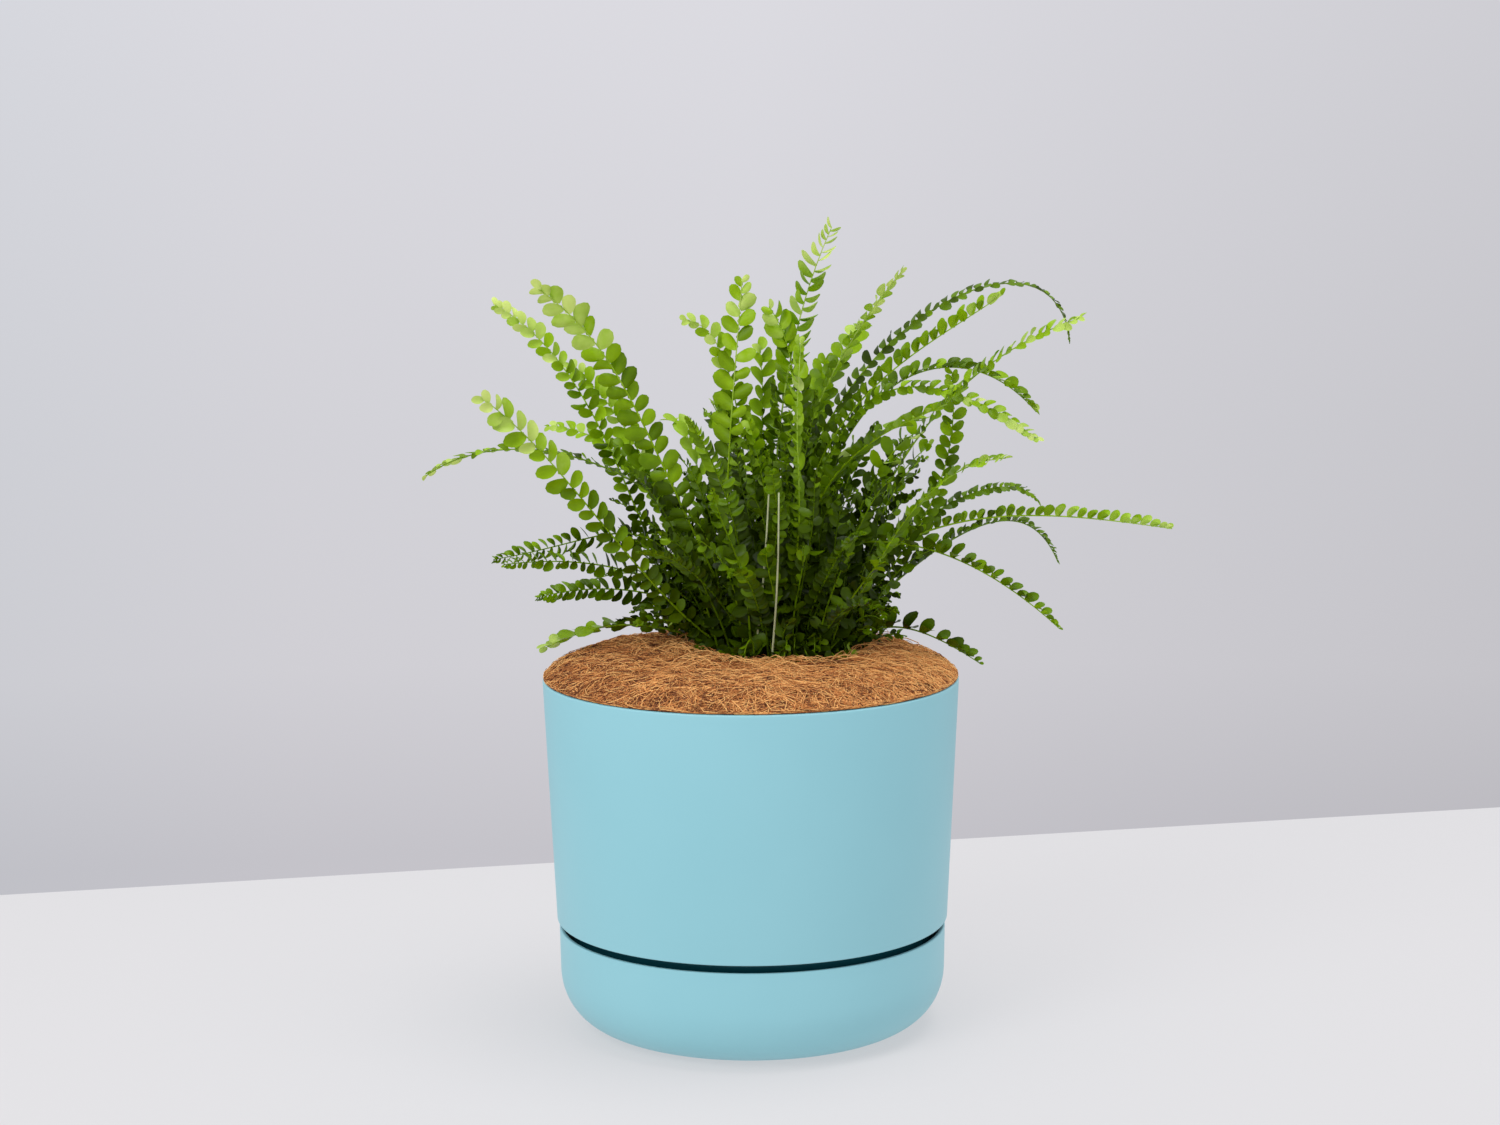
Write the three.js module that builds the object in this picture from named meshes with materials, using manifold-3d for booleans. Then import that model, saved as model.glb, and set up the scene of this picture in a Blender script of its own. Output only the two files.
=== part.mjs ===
// Round self-watering planter with its planting: a reservoir saucer, a pot that seats on the saucer's
// fins, a wick basket that hangs through the pot's floor into the water, a drainage platform,
// potting mix, a coir mulch mat, and a button fern with its root ball.
// Millimetres, +Z up. The origin is the middle of the saucer's foot, on the ground.

import * as THREE from 'three';
import { mergeVertices } from 'three/addons/utils/BufferGeometryUtils.js';
import Module from 'manifold-3d';

const wasm = await Module();
wasm.setup();

// ---------------------------------------------------------------- driving dimensions

const RIM_RADIUS = 125;          // outside of the pot at its rim
const RIM_Z = 212;               // height of the rim over the ground
const SKIRT_Z = 65;              // lower edge of the pot's outer skirt
const SKIRT_RADIUS = 118.3;      // outside of the pot at that edge
const POT_WALL = 2.8;
const NECK_RADIUS = 110;         // outside of the part of the pot that drops into the saucer
const NECK_FOOT_RADIUS = 108.5;
const NECK_WALL = 2.6;
const POT_FLOOR_Z = 33;          // underside of the pot's floor
const POT_FLOOR = 3;             // its thickness

const SAUCER_TOP_Z = 60.2;       // leaves a 4.8 mm filling gap under the skirt
const SAUCER_TOP_RADIUS = 117;
const SAUCER_WALL = 2.6;
const SAUCER_FLOOR = 3;
const CORNER_Z = 36;             // where the saucer's rounded corner meets its wall
const CORNER_RADIUS = 116.6;
const FOOT_RADIUS = 82;          // edge of the flat foot
const CORNER_POWER = 2.15;       // a little squarer than an ellipse
const FOOT_GROOVE = { inner: 30, outer: 68, depth: 1.2 };

const FIN_COUNT = 4;             // fins in the saucer that carry the pot
const FIN = { inner: 62, step: 111.2, outer: 116, thickness: 2.5, top: 52, inset: 0.8, rise: 0.5 };
const LOCATOR = { inner: 30, outer: 32.4, top: 11, notches: 4, notchLength: 8, notchWidth: 8 };
const ROOT_DEPTH = 1.5;          // how far fins and ring reach down into the saucer's floor

const BASKET = { flange: 37, mouth: 32, foot: 26, wall: 2, bottom: 6.5, flangeThickness: 2 };
const BASKET_SLOTS = { count: 12, width: 3, length: 16, radius: 28, low: 11, high: 30 };
const FLOOR_HOLE_RADIUS = 33;
const DRAIN_SLOTS = { count: 12, width: 3.5, length: 16, radius: 68 };

const PLATFORM = { radius: 104.5, bottom: 46, thickness: 2.4, hole: 30 };
const PLATFORM_LEGS = { count: 8, radius: 90, size: 4, segments: 12 };
const PLATFORM_SLOTS = { count: 16, width: 3, length: 34, radius: 70 };

const SAUCER_LIP = { width: 0.8, depth: 1 };   // bevel of the saucer's upper edge
const SKIRT_EDGE = 0.6;          // rounding of the skirt's lower edge
const NECK_CORNER = 2;           // rounding of the pot's lower corner
const CUT_MARGIN = 1;            // how far a cutting block passes the face it cuts

const CLEARANCE = 0.3;           // between pieces that touch
const FILL_CLEARANCE = 0.6;      // between the filling and the walls around it
const MIX_TOP_Z = 196;
// the top of the mat, as radius and height, from its edge to its middle
const COIR_PROFILE = [[120.6, 214.5], [112, 219], [100, 222.5], [85, 225], [60, 225.5], [0, 224]];

const CROWN = { x: 18, y: 30 };  // the plant stands a little right of centre and back
const CROWN_Z = RIM_Z + 2;       // top of the root ball
const ROOT_BALL = { foot: 40, top: 46.5, bottom: 92 };
const COIR_HOLE = { radius: 48, cutTop: 240 };
const POCKET_CLEARANCE = 0.6;
// radius and height over the rim of the dense inner mass of leaves
const CLUMP_PROFILE = [[38, 5], [50, 30], [62, 62], [73, 100], [72, 126], [54, 146], [24, 156], [0, 158]];

const BLADE = { halfWidth: 5, halfThickness: 1.2, sides: 6, steps: 8, tipShare: 0.35 };

const SEGMENTS = 60;             // round parts that show outside
const INNER_SEGMENTS = 48;       // round parts inside and the filling
const CLUMP_SEGMENTS = 16;

// Each outer frond: the way it leans (degrees, 0 = +X, 90 = +Y), how far its blade is rolled,
// then distance from the crown's middle and height over the rim at its foot, at two handles and at its tip.
const FRONDS = [
  // right side, from the tallest to the lowest
  { lean: 15, roll: 25, line: [10, 4, -40, 168, 176, 297, 185, 194] },
  { lean: 330, roll: 30, line: [12, 4, -4, 157, 84, 189, 148, 230] },
  { lean: 342, roll: 20, line: [14, 4, 60, 93, 83, 180, 184, 215] },
  { lean: 4, roll: 10, line: [12, 4, 14, 177, 103, 217, 157, 154] },
  { lean: 354, roll: 50, line: [12, 4, 17, 181, 70, 202, 155, 140] },
  { lean: 322, roll: 10, line: [16, 4, 77, 47, 87, 130, 163, 138] },
  { lean: 30, roll: 25, line: [18, 4, 22, 42, 161, 133, 192, 87] },
  { lean: 348, roll: 15, line: [18, 4, 46, 99, 136, 105, 237, 90] },
  { lean: 18, roll: 10, line: [20, 4, 86, 55, 153, 122, 184, 55] },
  { lean: 332, roll: 10, line: [18, 4, -20, 100, 110, 100, 184, 37] },
  { lean: 352, roll: 20, line: [38, 5, 56, 35, 84, 30, 122, 4] },
  { lean: 20, roll: 70, line: [30, 4, 70, 60, 125, 90, 113, 176] },
  { lean: 310, roll: 0, line: [16, 4, 6, 104, 56, 138, 141, 168] },
  // tall ones in the middle
  { lean: 30, roll: 80, line: [6, 4, -16, 117, 0, 184, 39, 266] },
  { lean: 325, roll: 17, line: [8, 4, -14, 131, 41, 191, 90, 243] },
  { lean: 200, roll: 60, line: [12, 4, 48, 73, 30, 150, 22, 235] },
  { lean: 185, roll: -70, line: [10, 4, 21, 95, 18, 212, 57, 212] },
  { lean: 200, roll: 55, line: [8, 4, -2, 71, -30, 170, 7, 220] },
  { lean: 280, roll: 52, line: [26, 6, 42, 70, 84, 120, 62, 202] },
  // left side, from the tallest to the lowest
  { lean: 215, roll: 50, line: [12, 4, 74, 82, 87, 182, 169, 236] },
  { lean: 172, roll: -75, line: [12, 4, 96, 24, 85, 174, 175, 221] },
  { lean: 155, roll: -50, line: [12, 4, 79, 62, 83, 146, 143, 181] },
  { lean: 205, roll: -88, line: [12, 4, 78, 22, 118, 118, 191, 173] },
  { lean: 183, roll: 12, line: [14, 4, 41, 131, 162, 156, 213, 120] },
  { lean: 162, roll: -50, line: [16, 4, 60, 40, 70, 145, 152, 143] },
  { lean: 190, roll: -80, line: [16, 4, 88, 115, 85, 84, 174, 71] },
  { lean: 199, roll: -60, line: [18, 4, 42, 34, 78, 78, 173, 72] },
  { lean: 168, roll: -80, line: [20, 4, 47, 44, 103, 54, 154, 38] },
  { lean: 178, roll: 25, line: [30, 6, 55, 23, 98, 37, 143, 12] },
  // front
  { lean: 228, roll: 10, line: [20, 4, 60, 60, 85, 80, 125, 84] },
  { lean: 242, roll: 10, line: [20, 4, 50, 80, 80, 140, 110, 162] },
  { lean: 256, roll: 10, line: [20, 4, 60, 50, 90, 80, 118, 72] },
  { lean: 268, roll: 10, line: [20, 4, 45, 80, 75, 140, 105, 130] },
  { lean: 294, roll: 10, line: [20, 4, 55, 60, 85, 90, 120, 96] },
  { lean: 302, roll: 10, line: [34, 5, 55, 40, 85, 62, 112, 44] },
  // back
  { lean: 40, roll: 10, line: [18, 4, 46, 122, 66, 145, 121, 143] },
  { lean: 73, roll: 10, line: [18, 4, 72, 50, 52, 116, 102, 180] },
  { lean: 57, roll: 10, line: [16, 4, 18, 102, 40, 180, 98, 202] },
  { lean: 94, roll: 10, line: [20, 4, 60, 50, 105, 80, 145, 58] },
  { lean: 108, roll: 10, line: [16, 4, 34, 110, 23, 140, 45, 194] },
  { lean: 122, roll: 10, line: [18, 4, 60, 70, 110, 110, 150, 88] },
  { lean: 136, roll: 10, line: [16, 4, 69, 74, 70, 151, 96, 145] },
  { lean: 146, roll: 10, line: [24, 4, 60, 40, 100, 60, 142, 42] },
];

// ---------------------------------------------------------------- materials

const potPlastic = new THREE.MeshStandardMaterial({ color: 0x9accd6, roughness: 0.38, metalness: 0 });
const innerPlastic = new THREE.MeshStandardMaterial({ color: 0x2c3236, roughness: 0.55, metalness: 0 });
const soil = new THREE.MeshStandardMaterial({ color: 0x3a281c, roughness: 1, metalness: 0 });
const coir = new THREE.MeshStandardMaterial({ color: 0xa57044, roughness: 0.95, metalness: 0 });
const roots = new THREE.MeshStandardMaterial({ color: 0x6b5238, roughness: 1, metalness: 0 });
const foliage = new THREE.MeshStandardMaterial({ color: 0x5b9b34, roughness: 0.5, metalness: 0 });

// ---------------------------------------------------------------- solids and cuts

/** A closed three.js geometry as a solid that can be joined and cut. */
function toSolid(geometry) {
  const bare = geometry.clone();
  bare.deleteAttribute('normal');
  bare.deleteAttribute('uv');
  const merged = mergeVertices(bare, 1e-3);
  const corners = merged.index.array;
  const triVerts = [];
  for (let i = 0; i < corners.length; i += 3) {
    const [a, b, c] = [corners[i], corners[i + 1], corners[i + 2]];
    if (a !== b && b !== c && c !== a) {
      triVerts.push(a, b, c);
    }
  }
  return new wasm.Manifold(new wasm.Mesh({
    numProp: 3,
    vertProperties: merged.getAttribute('position').array,
    triVerts: Uint32Array.from(triVerts),
  }));
}

/** A solid as a three.js geometry. */
function toGeometry(solid) {
  const mesh = solid.getMesh();
  const geometry = new THREE.BufferGeometry();
  geometry.setAttribute('position', new THREE.BufferAttribute(mesh.vertProperties, 3));
  geometry.setIndex(new THREE.BufferAttribute(mesh.triVerts, 1));
  geometry.computeVertexNormals();
  return geometry;
}

/** Turns an outline of [radius, z] points, listed anticlockwise, round the Z axis. */
function turned(outline, segments) {
  const points = outline.map(([radius, z]) => new THREE.Vector2(radius, z));
  const geometry = new THREE.LatheGeometry(points, segments);
  geometry.rotateX(Math.PI / 2);
  return toSolid(geometry);
}

/** A turned outline that doesn't touch the axis: it is closed back to its first point. */
function turnedRing(outline, segments) {
  return turned([...outline, outline[0]], segments);
}

/** A straight or tapered round bar along Z, from z = low to z = high, centred on (x, y). */
function bar(x, y, lowRadius, highRadius, low, high, segments) {
  const geometry = new THREE.CylinderGeometry(highRadius, lowRadius, high - low, segments);
  geometry.rotateX(Math.PI / 2);
  geometry.translate(x, y, (low + high) / 2);
  return toSolid(geometry);
}

/** A block that lies along a spoke at an angle, its middle at a radius from the axis. */
function spokeBlock(angle, radius, length, width, low, high) {
  const geometry = new THREE.BoxGeometry(length, width, high - low);
  geometry.translate(radius, 0, (low + high) / 2);
  geometry.rotateZ(angle);
  return toSolid(geometry);
}

/** Points on a round stretch of outline, between two angles in degrees, as [radius, z]. */
function roundCorner(centreRadius, centreZ, size, start, end, steps) {
  return Array.from({ length: steps + 1 }, (_, i) => {
    const angle = THREE.MathUtils.degToRad(start + ((end - start) * i) / steps);
    return [centreRadius + size * Math.cos(angle), centreZ + size * Math.sin(angle)];
  });
}

/** The angles of count equal steps round the axis, from a first one. */
function around(count, first = 0) {
  return Array.from({ length: count }, (_, i) => first + (i * 2 * Math.PI) / count);
}

function cutAll(solid, tools) {
  return tools.reduce((left, tool) => left.subtract(tool), solid);
}

function joinAll(solid, pieces) {
  return pieces.reduce((sum, piece) => sum.add(piece), solid);
}

/** The biggest of the separate bodies in a solid. */
function largestPiece(solid) {
  return solid.decompose().reduce((best, piece) => (piece.volume() > best.volume() ? piece : best));
}

// ---------------------------------------------------------------- reservoir saucer

/** The rounded corner from the foot up to the wall, as [radius, z] points, for one skin of the saucer. */
function cornerArc(wallRadius, bottom, steps) {
  const arc = [];
  for (let i = 0; i <= steps; i += 1) {
    const turn = (i / steps) * (Math.PI / 2);
    const out = Math.sin(turn) ** (2 / CORNER_POWER);
    const up = 1 - Math.max(Math.cos(turn), 0) ** (2 / CORNER_POWER);
    arc.push([FOOT_RADIUS + (wallRadius - FOOT_RADIUS) * out, bottom + (CORNER_Z - bottom) * up]);
  }
  return arc;
}

function reservoirSaucer() {
  const steps = 7;
  const outside = [
    ...cornerArc(CORNER_RADIUS, 0, steps),
    [SAUCER_TOP_RADIUS, SAUCER_TOP_Z - SAUCER_LIP.depth],
  ];
  const inside = cornerArc(CORNER_RADIUS - SAUCER_WALL, SAUCER_FLOOR, steps).reverse();
  const lip = [
    [SAUCER_TOP_RADIUS - SAUCER_LIP.width, SAUCER_TOP_Z],
    [SAUCER_TOP_RADIUS - SAUCER_WALL, SAUCER_TOP_Z],
  ];
  const groove = FOOT_GROOVE;
  const underside = [
    [0, 0],
    [groove.inner, 0],
    [groove.inner, groove.depth],
    [groove.outer, groove.depth],
    [groove.outer, 0],
  ];
  const shell = turned([...underside, ...outside, ...lip, ...inside, [0, SAUCER_FLOOR]], SEGMENTS);

  // the fins stop inside this, short of the saucer's outer skin
  const inset = outside.map(([radius, z]) => [radius - FIN.inset, z + FIN.rise]);
  const envelope = turned([[0, FIN.rise], ...inset, [0, SAUCER_TOP_Z]], SEGMENTS);
  const finOutline = new THREE.Shape([
    new THREE.Vector2(FIN.inner, ROOT_DEPTH),
    new THREE.Vector2(FIN.outer, ROOT_DEPTH),
    new THREE.Vector2(FIN.outer, FIN.top),
    new THREE.Vector2(FIN.step, FIN.top),
    new THREE.Vector2(FIN.step, POT_FLOOR_Z - CLEARANCE),
    new THREE.Vector2(FIN.inner, POT_FLOOR_Z - CLEARANCE),
  ]);
  const fins = around(FIN_COUNT, Math.PI / 4).map((angle) => {
    const geometry = new THREE.ExtrudeGeometry(finOutline, { depth: FIN.thickness, bevelEnabled: false });
    geometry.translate(0, 0, -FIN.thickness / 2);
    geometry.rotateX(Math.PI / 2);
    geometry.rotateZ(angle);
    return toSolid(geometry).intersect(envelope);
  });

  const locator = turnedRing([
    [LOCATOR.inner, ROOT_DEPTH],
    [LOCATOR.outer, ROOT_DEPTH],
    [LOCATOR.outer, LOCATOR.top],
    [LOCATOR.inner, LOCATOR.top],
  ], INNER_SEGMENTS);
  const middle = (LOCATOR.inner + LOCATOR.outer) / 2;
  const notches = around(LOCATOR.notches).map((angle) => (
    spokeBlock(
      angle,
      middle,
      LOCATOR.notchLength,
      LOCATOR.notchWidth,
      SAUCER_FLOOR + CUT_MARGIN,
      LOCATOR.top + CUT_MARGIN,
    )
  ));
  return joinAll(shell, [...fins, cutAll(locator, notches)]);
}

// ---------------------------------------------------------------- pot

/** The inside radius of the pot's neck at a height. */
function neckInside(z) {
  const rise = (z - POT_FLOOR_Z) / (SKIRT_Z - POT_FLOOR_Z);
  return NECK_FOOT_RADIUS + (NECK_RADIUS - NECK_FOOT_RADIUS) * rise - NECK_WALL;
}

/** The inside radius of the pot's upper wall at a height. */
function potInside(z) {
  const rise = (z - SKIRT_Z) / (RIM_Z - SKIRT_Z);
  return SKIRT_RADIUS + (RIM_RADIUS - SKIRT_RADIUS) * rise - POT_WALL;
}

function potShell() {
  const ledgeTop = SKIRT_Z + POT_WALL;
  const floorTop = POT_FLOOR_Z + POT_FLOOR;
  const crest = POT_WALL / 2;
  const outline = [
    [FLOOR_HOLE_RADIUS, POT_FLOOR_Z],
    ...roundCorner(NECK_FOOT_RADIUS - NECK_CORNER, POT_FLOOR_Z + NECK_CORNER, NECK_CORNER, -90, 0, 2),
    [NECK_RADIUS, SKIRT_Z],
    ...roundCorner(SKIRT_RADIUS - SKIRT_EDGE, SKIRT_Z + SKIRT_EDGE, SKIRT_EDGE, -90, 0, 1),
    ...roundCorner(RIM_RADIUS - crest, RIM_Z - crest, crest, 0, 180, 4),
    [potInside(ledgeTop), ledgeTop],
    [neckInside(ledgeTop), ledgeTop],
    [neckInside(floorTop), floorTop],
    [FLOOR_HOLE_RADIUS, floorTop],
  ];
  const slots = around(DRAIN_SLOTS.count).map((angle) => (
    spokeBlock(
      angle,
      DRAIN_SLOTS.radius,
      DRAIN_SLOTS.length,
      DRAIN_SLOTS.width,
      POT_FLOOR_Z - CUT_MARGIN,
      floorTop + CUT_MARGIN,
    )
  ));
  return cutAll(turnedRing(outline, SEGMENTS), slots);
}

// ---------------------------------------------------------------- wick basket and drainage platform

const FLANGE_Z = POT_FLOOR_Z + POT_FLOOR + CLEARANCE;
const FLANGE_TOP_Z = FLANGE_Z + BASKET.flangeThickness;

function wickBasket() {
  const outline = [
    [0, BASKET.bottom],
    [BASKET.foot, BASKET.bottom],
    [BASKET.mouth, FLANGE_Z],
    [BASKET.flange, FLANGE_Z],
    [BASKET.flange, FLANGE_TOP_Z],
    [BASKET.mouth - BASKET.wall, FLANGE_TOP_Z],
    [BASKET.foot - BASKET.wall, BASKET.bottom + BASKET.wall],
    [0, BASKET.bottom + BASKET.wall],
  ];
  const slots = around(BASKET_SLOTS.count).map((angle) => (
    spokeBlock(
      angle,
      BASKET_SLOTS.radius,
      BASKET_SLOTS.length,
      BASKET_SLOTS.width,
      BASKET_SLOTS.low,
      BASKET_SLOTS.high,
    )
  ));
  return cutAll(turned(outline, INNER_SEGMENTS), slots);
}

function drainagePlatform() {
  const top = PLATFORM.bottom + PLATFORM.thickness;
  const disc = turnedRing([
    [PLATFORM.hole, PLATFORM.bottom],
    [PLATFORM.radius, PLATFORM.bottom],
    [PLATFORM.radius, top],
    [PLATFORM.hole, top],
  ], INNER_SEGMENTS);
  const legs = around(PLATFORM_LEGS.count, Math.PI / PLATFORM_LEGS.count).map((angle) => (
    bar(
      PLATFORM_LEGS.radius * Math.cos(angle),
      PLATFORM_LEGS.radius * Math.sin(angle),
      PLATFORM_LEGS.size,
      PLATFORM_LEGS.size,
      FLANGE_Z,
      PLATFORM.bottom + CUT_MARGIN,
      PLATFORM_LEGS.segments,
    )
  ));
  const slots = around(PLATFORM_SLOTS.count).map((angle) => (
    spokeBlock(
      angle,
      PLATFORM_SLOTS.radius,
      PLATFORM_SLOTS.length,
      PLATFORM_SLOTS.width,
      PLATFORM.bottom - CUT_MARGIN,
      top + CUT_MARGIN,
    )
  ));
  return joinAll(cutAll(disc, slots), legs);
}

// ---------------------------------------------------------------- potting mix, coir mat and root ball

function rootBallShape(clearance) {
  return bar(
    CROWN.x,
    CROWN.y,
    ROOT_BALL.foot + clearance,
    ROOT_BALL.top + clearance,
    ROOT_BALL.bottom - clearance,
    CROWN_Z + clearance,
    INNER_SEGMENTS,
  );
}

function pottingMix() {
  const ledgeTop = SKIRT_Z + POT_WALL + CLEARANCE;
  const mixFoot = PLATFORM.bottom + PLATFORM.thickness + CLEARANCE;
  const plugBottom = BASKET.bottom + BASKET.wall + CLEARANCE;
  const outline = [
    [0, plugBottom],
    [BASKET.foot - BASKET.wall - FILL_CLEARANCE, plugBottom],
    [BASKET.mouth - BASKET.wall - FILL_CLEARANCE, FLANGE_TOP_Z],
    [BASKET.mouth - BASKET.wall - FILL_CLEARANCE, mixFoot],
    [neckInside(mixFoot) - FILL_CLEARANCE, mixFoot],
    [neckInside(ledgeTop) - FILL_CLEARANCE, ledgeTop],
    [potInside(ledgeTop) - FILL_CLEARANCE, ledgeTop],
    [potInside(MIX_TOP_Z) - FILL_CLEARANCE, MIX_TOP_Z],
    [0, MIX_TOP_Z],
  ];
  return turned(outline, INNER_SEGMENTS).subtract(rootBallShape(POCKET_CLEARANCE));
}

function coirMulch() {
  const underside = MIX_TOP_Z + CLEARANCE;
  const dome = turned([[0, underside], [COIR_PROFILE[0][0], underside], ...COIR_PROFILE], INNER_SEGMENTS);
  const hole = bar(
    CROWN.x,
    CROWN.y,
    COIR_HOLE.radius,
    COIR_HOLE.radius,
    underside - CUT_MARGIN,
    COIR_HOLE.cutTop,
    INNER_SEGMENTS,
  );
  return dome.subtract(hole);
}

function rootBall() {
  return rootBallShape(0);
}

// ---------------------------------------------------------------- fern

/** The dense inner leaves as one plain mass, grown by a clearance. */
function fernClump(clearance) {
  const side = CLUMP_PROFILE.map(([radius, height], i) => {
    const last = i === CLUMP_PROFILE.length - 1;
    return [last ? 0 : radius + clearance, RIM_Z + height + clearance];
  });
  const foot = RIM_Z + CLUMP_PROFILE[0][1] - clearance;
  const outline = [[0, foot], [CLUMP_PROFILE[0][0] + clearance, foot], ...side.slice(1)];
  return turned(outline, CLUMP_SEGMENTS).translate([CROWN.x, CROWN.y, 0]);
}

/** The midline of a frond, in the upright plane that it leans in. */
function frondCurve({ lean, line }) {
  const angle = THREE.MathUtils.degToRad(lean);
  const points = [];
  for (let i = 0; i < line.length; i += 2) {
    const reach = line[i];
    points.push(new THREE.Vector3(
      CROWN.x + reach * Math.cos(angle),
      CROWN.y + reach * Math.sin(angle),
      RIM_Z + line[i + 1],
    ));
  }
  return new THREE.CubicBezierCurve3(...points);
}

/** A frond as one tapered blade: a flat six-sided bar bent along the midline. */
function frondBlade(frond, clearance) {
  const curve = frondCurve(frond);
  const angle = THREE.MathUtils.degToRad(frond.lean);
  const level = new THREE.Vector3(-Math.sin(angle), Math.cos(angle), 0);
  const geometry = new THREE.CylinderGeometry(1, 1, 1, BLADE.sides, BLADE.steps);
  const position = geometry.getAttribute('position');
  for (let i = 0; i < position.count; i += 1) {
    const along = position.getY(i) + 0.5;
    const tangent = curve.getTangent(along);
    const across = level.clone().applyAxisAngle(tangent, THREE.MathUtils.degToRad(frond.roll));
    const face = across.clone().cross(tangent);
    const taper = 1 - (1 - BLADE.tipShare) * along ** 3;
    const place = curve.getPoint(along)
      .addScaledVector(across, position.getX(i) * (BLADE.halfWidth * taper + clearance))
      .addScaledVector(face, position.getZ(i) * (BLADE.halfThickness + clearance));
    position.setXYZ(i, place.x, place.y, place.z);
  }
  return toSolid(geometry);
}

/** The outer fronds, each cut clear of the inner mass and of the fronds made before it. */
function outerFronds() {
  const inner = fernClump(CLEARANCE);
  const taken = [];
  return FRONDS.map((frond) => {
    const free = cutAll(frondBlade(frond, 0), [inner, ...taken]);
    taken.push(frondBlade(frond, CLEARANCE));
    return largestPiece(free);
  });
}

// ---------------------------------------------------------------- the planter

const planter = new THREE.Group();

function place(name, solid, material) {
  const mesh = new THREE.Mesh(toGeometry(solid), material);
  mesh.name = name;
  planter.add(mesh);
}

place('reservoir_saucer', reservoirSaucer(), potPlastic);
place('pot_shell', potShell(), potPlastic);
place('wick_basket', wickBasket(), innerPlastic);
place('drainage_platform', drainagePlatform(), innerPlastic);
place('potting_mix', pottingMix(), soil);
place('coir_mulch', coirMulch(), coir);
place('root_ball', rootBall(), roots);
place('fern_clump', fernClump(0), foliage);
outerFronds().forEach((solid, i) => {
  place(`frond_${String(i + 1).padStart(2, '0')}`, solid, foliage);
});

export default planter;
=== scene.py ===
"""Looks for the self-watering planter: moulded plastic pot and saucer, coir mulch and a button fern.

Everything is in metres in the CAD frame: +Z up, the origin in the middle of the saucer's foot.
"""

import math

import bmesh
import bpy
import numpy as np
from mathutils import Matrix, Vector


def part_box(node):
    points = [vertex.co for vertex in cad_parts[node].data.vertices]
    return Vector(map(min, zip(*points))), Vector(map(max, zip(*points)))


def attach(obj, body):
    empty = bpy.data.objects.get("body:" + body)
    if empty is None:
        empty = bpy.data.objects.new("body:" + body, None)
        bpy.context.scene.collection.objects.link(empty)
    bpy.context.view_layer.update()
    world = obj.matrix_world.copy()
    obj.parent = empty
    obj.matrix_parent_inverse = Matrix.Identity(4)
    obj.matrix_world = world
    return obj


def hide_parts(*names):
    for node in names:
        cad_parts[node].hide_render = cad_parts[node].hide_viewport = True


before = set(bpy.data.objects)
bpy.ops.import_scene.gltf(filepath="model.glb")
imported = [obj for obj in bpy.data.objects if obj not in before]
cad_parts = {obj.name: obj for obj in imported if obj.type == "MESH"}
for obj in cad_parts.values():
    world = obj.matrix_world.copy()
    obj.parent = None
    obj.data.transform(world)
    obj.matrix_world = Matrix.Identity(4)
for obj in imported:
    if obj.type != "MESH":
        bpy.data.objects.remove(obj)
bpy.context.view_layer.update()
scene = bpy.context.scene
MM = 0.001

# ------------------------------------------------------------------ sizes shared with the CAD model

RIM_RADIUS = 125 * MM
RIM_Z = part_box("pot_shell")[1].z
SKIRT_Z = 65 * MM
SKIRT_RADIUS = 118.3 * MM
POT_WALL = 2.8 * MM
NECK_RADIUS = 110 * MM
NECK_FOOT_RADIUS = 108.5 * MM
NECK_WALL = 2.6 * MM
POT_FLOOR_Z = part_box("pot_shell")[0].z
POT_FLOOR = 3 * MM
SAUCER_TOP_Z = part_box("reservoir_saucer")[1].z
SAUCER_TOP_RADIUS = 117 * MM
SAUCER_WALL = 2.6 * MM
SAUCER_FLOOR = 3 * MM
CORNER_Z = 36 * MM
CORNER_RADIUS = 116.6 * MM
FOOT_RADIUS = 82 * MM
CORNER_POWER = 2.15
COIR_HOLE_RADIUS = 48 * MM
CROWN = Vector((18 * MM, 30 * MM, 0))

ROUND_STEPS = 256  # segments round the pot and saucer

# ------------------------------------------------------------------ camera, stage and light

CAMERA_PLACE = (0, -1.7775, 0.5367)
CAMERA_PITCH = math.radians(8.2)  # below the horizon
CAMERA_ROLL = math.radians(0.37)  # clockwise, as seen from behind the camera
FLOOR_BACK = ((-5.0, -0.67), (5.0, 1.52))  # the floor's far edge, left and right, slanting away
LAMP_SIZE = 1.6
LAMP_TARGET = (0, 0, 0.2)


def make_camera():
    data = bpy.data.cameras.new("camera")
    data.sensor_width = 36
    data.lens = 72
    data.clip_end = 50
    camera = bpy.data.objects.new("camera", data)
    scene.collection.objects.link(camera)
    camera.location = CAMERA_PLACE
    tilt = Matrix.Rotation(math.pi / 2 - CAMERA_PITCH, 4, "X")
    roll = Matrix.Rotation(-CAMERA_ROLL, 4, "Z")
    camera.rotation_euler = (tilt @ roll).to_euler()
    scene.camera = camera


def new_material(name):
    material = bpy.data.materials.new(name)
    material.use_nodes = True
    nodes = material.node_tree.nodes
    return material, nodes, material.node_tree.links, nodes["Principled BSDF"]


def add_ramp(nodes, links, source, stops):
    """A colour ramp fed by a socket. stops are (position, (r, g, b))."""
    ramp = nodes.new("ShaderNodeValToRGB")
    elements = ramp.color_ramp.elements
    while len(elements) < len(stops):
        elements.new(0.5)
    for element, (position, colour) in zip(elements, stops):
        element.position = position
        element.color = (*colour, 1)
    links.new(source, ramp.inputs["Fac"])
    return ramp.outputs["Color"]


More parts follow.
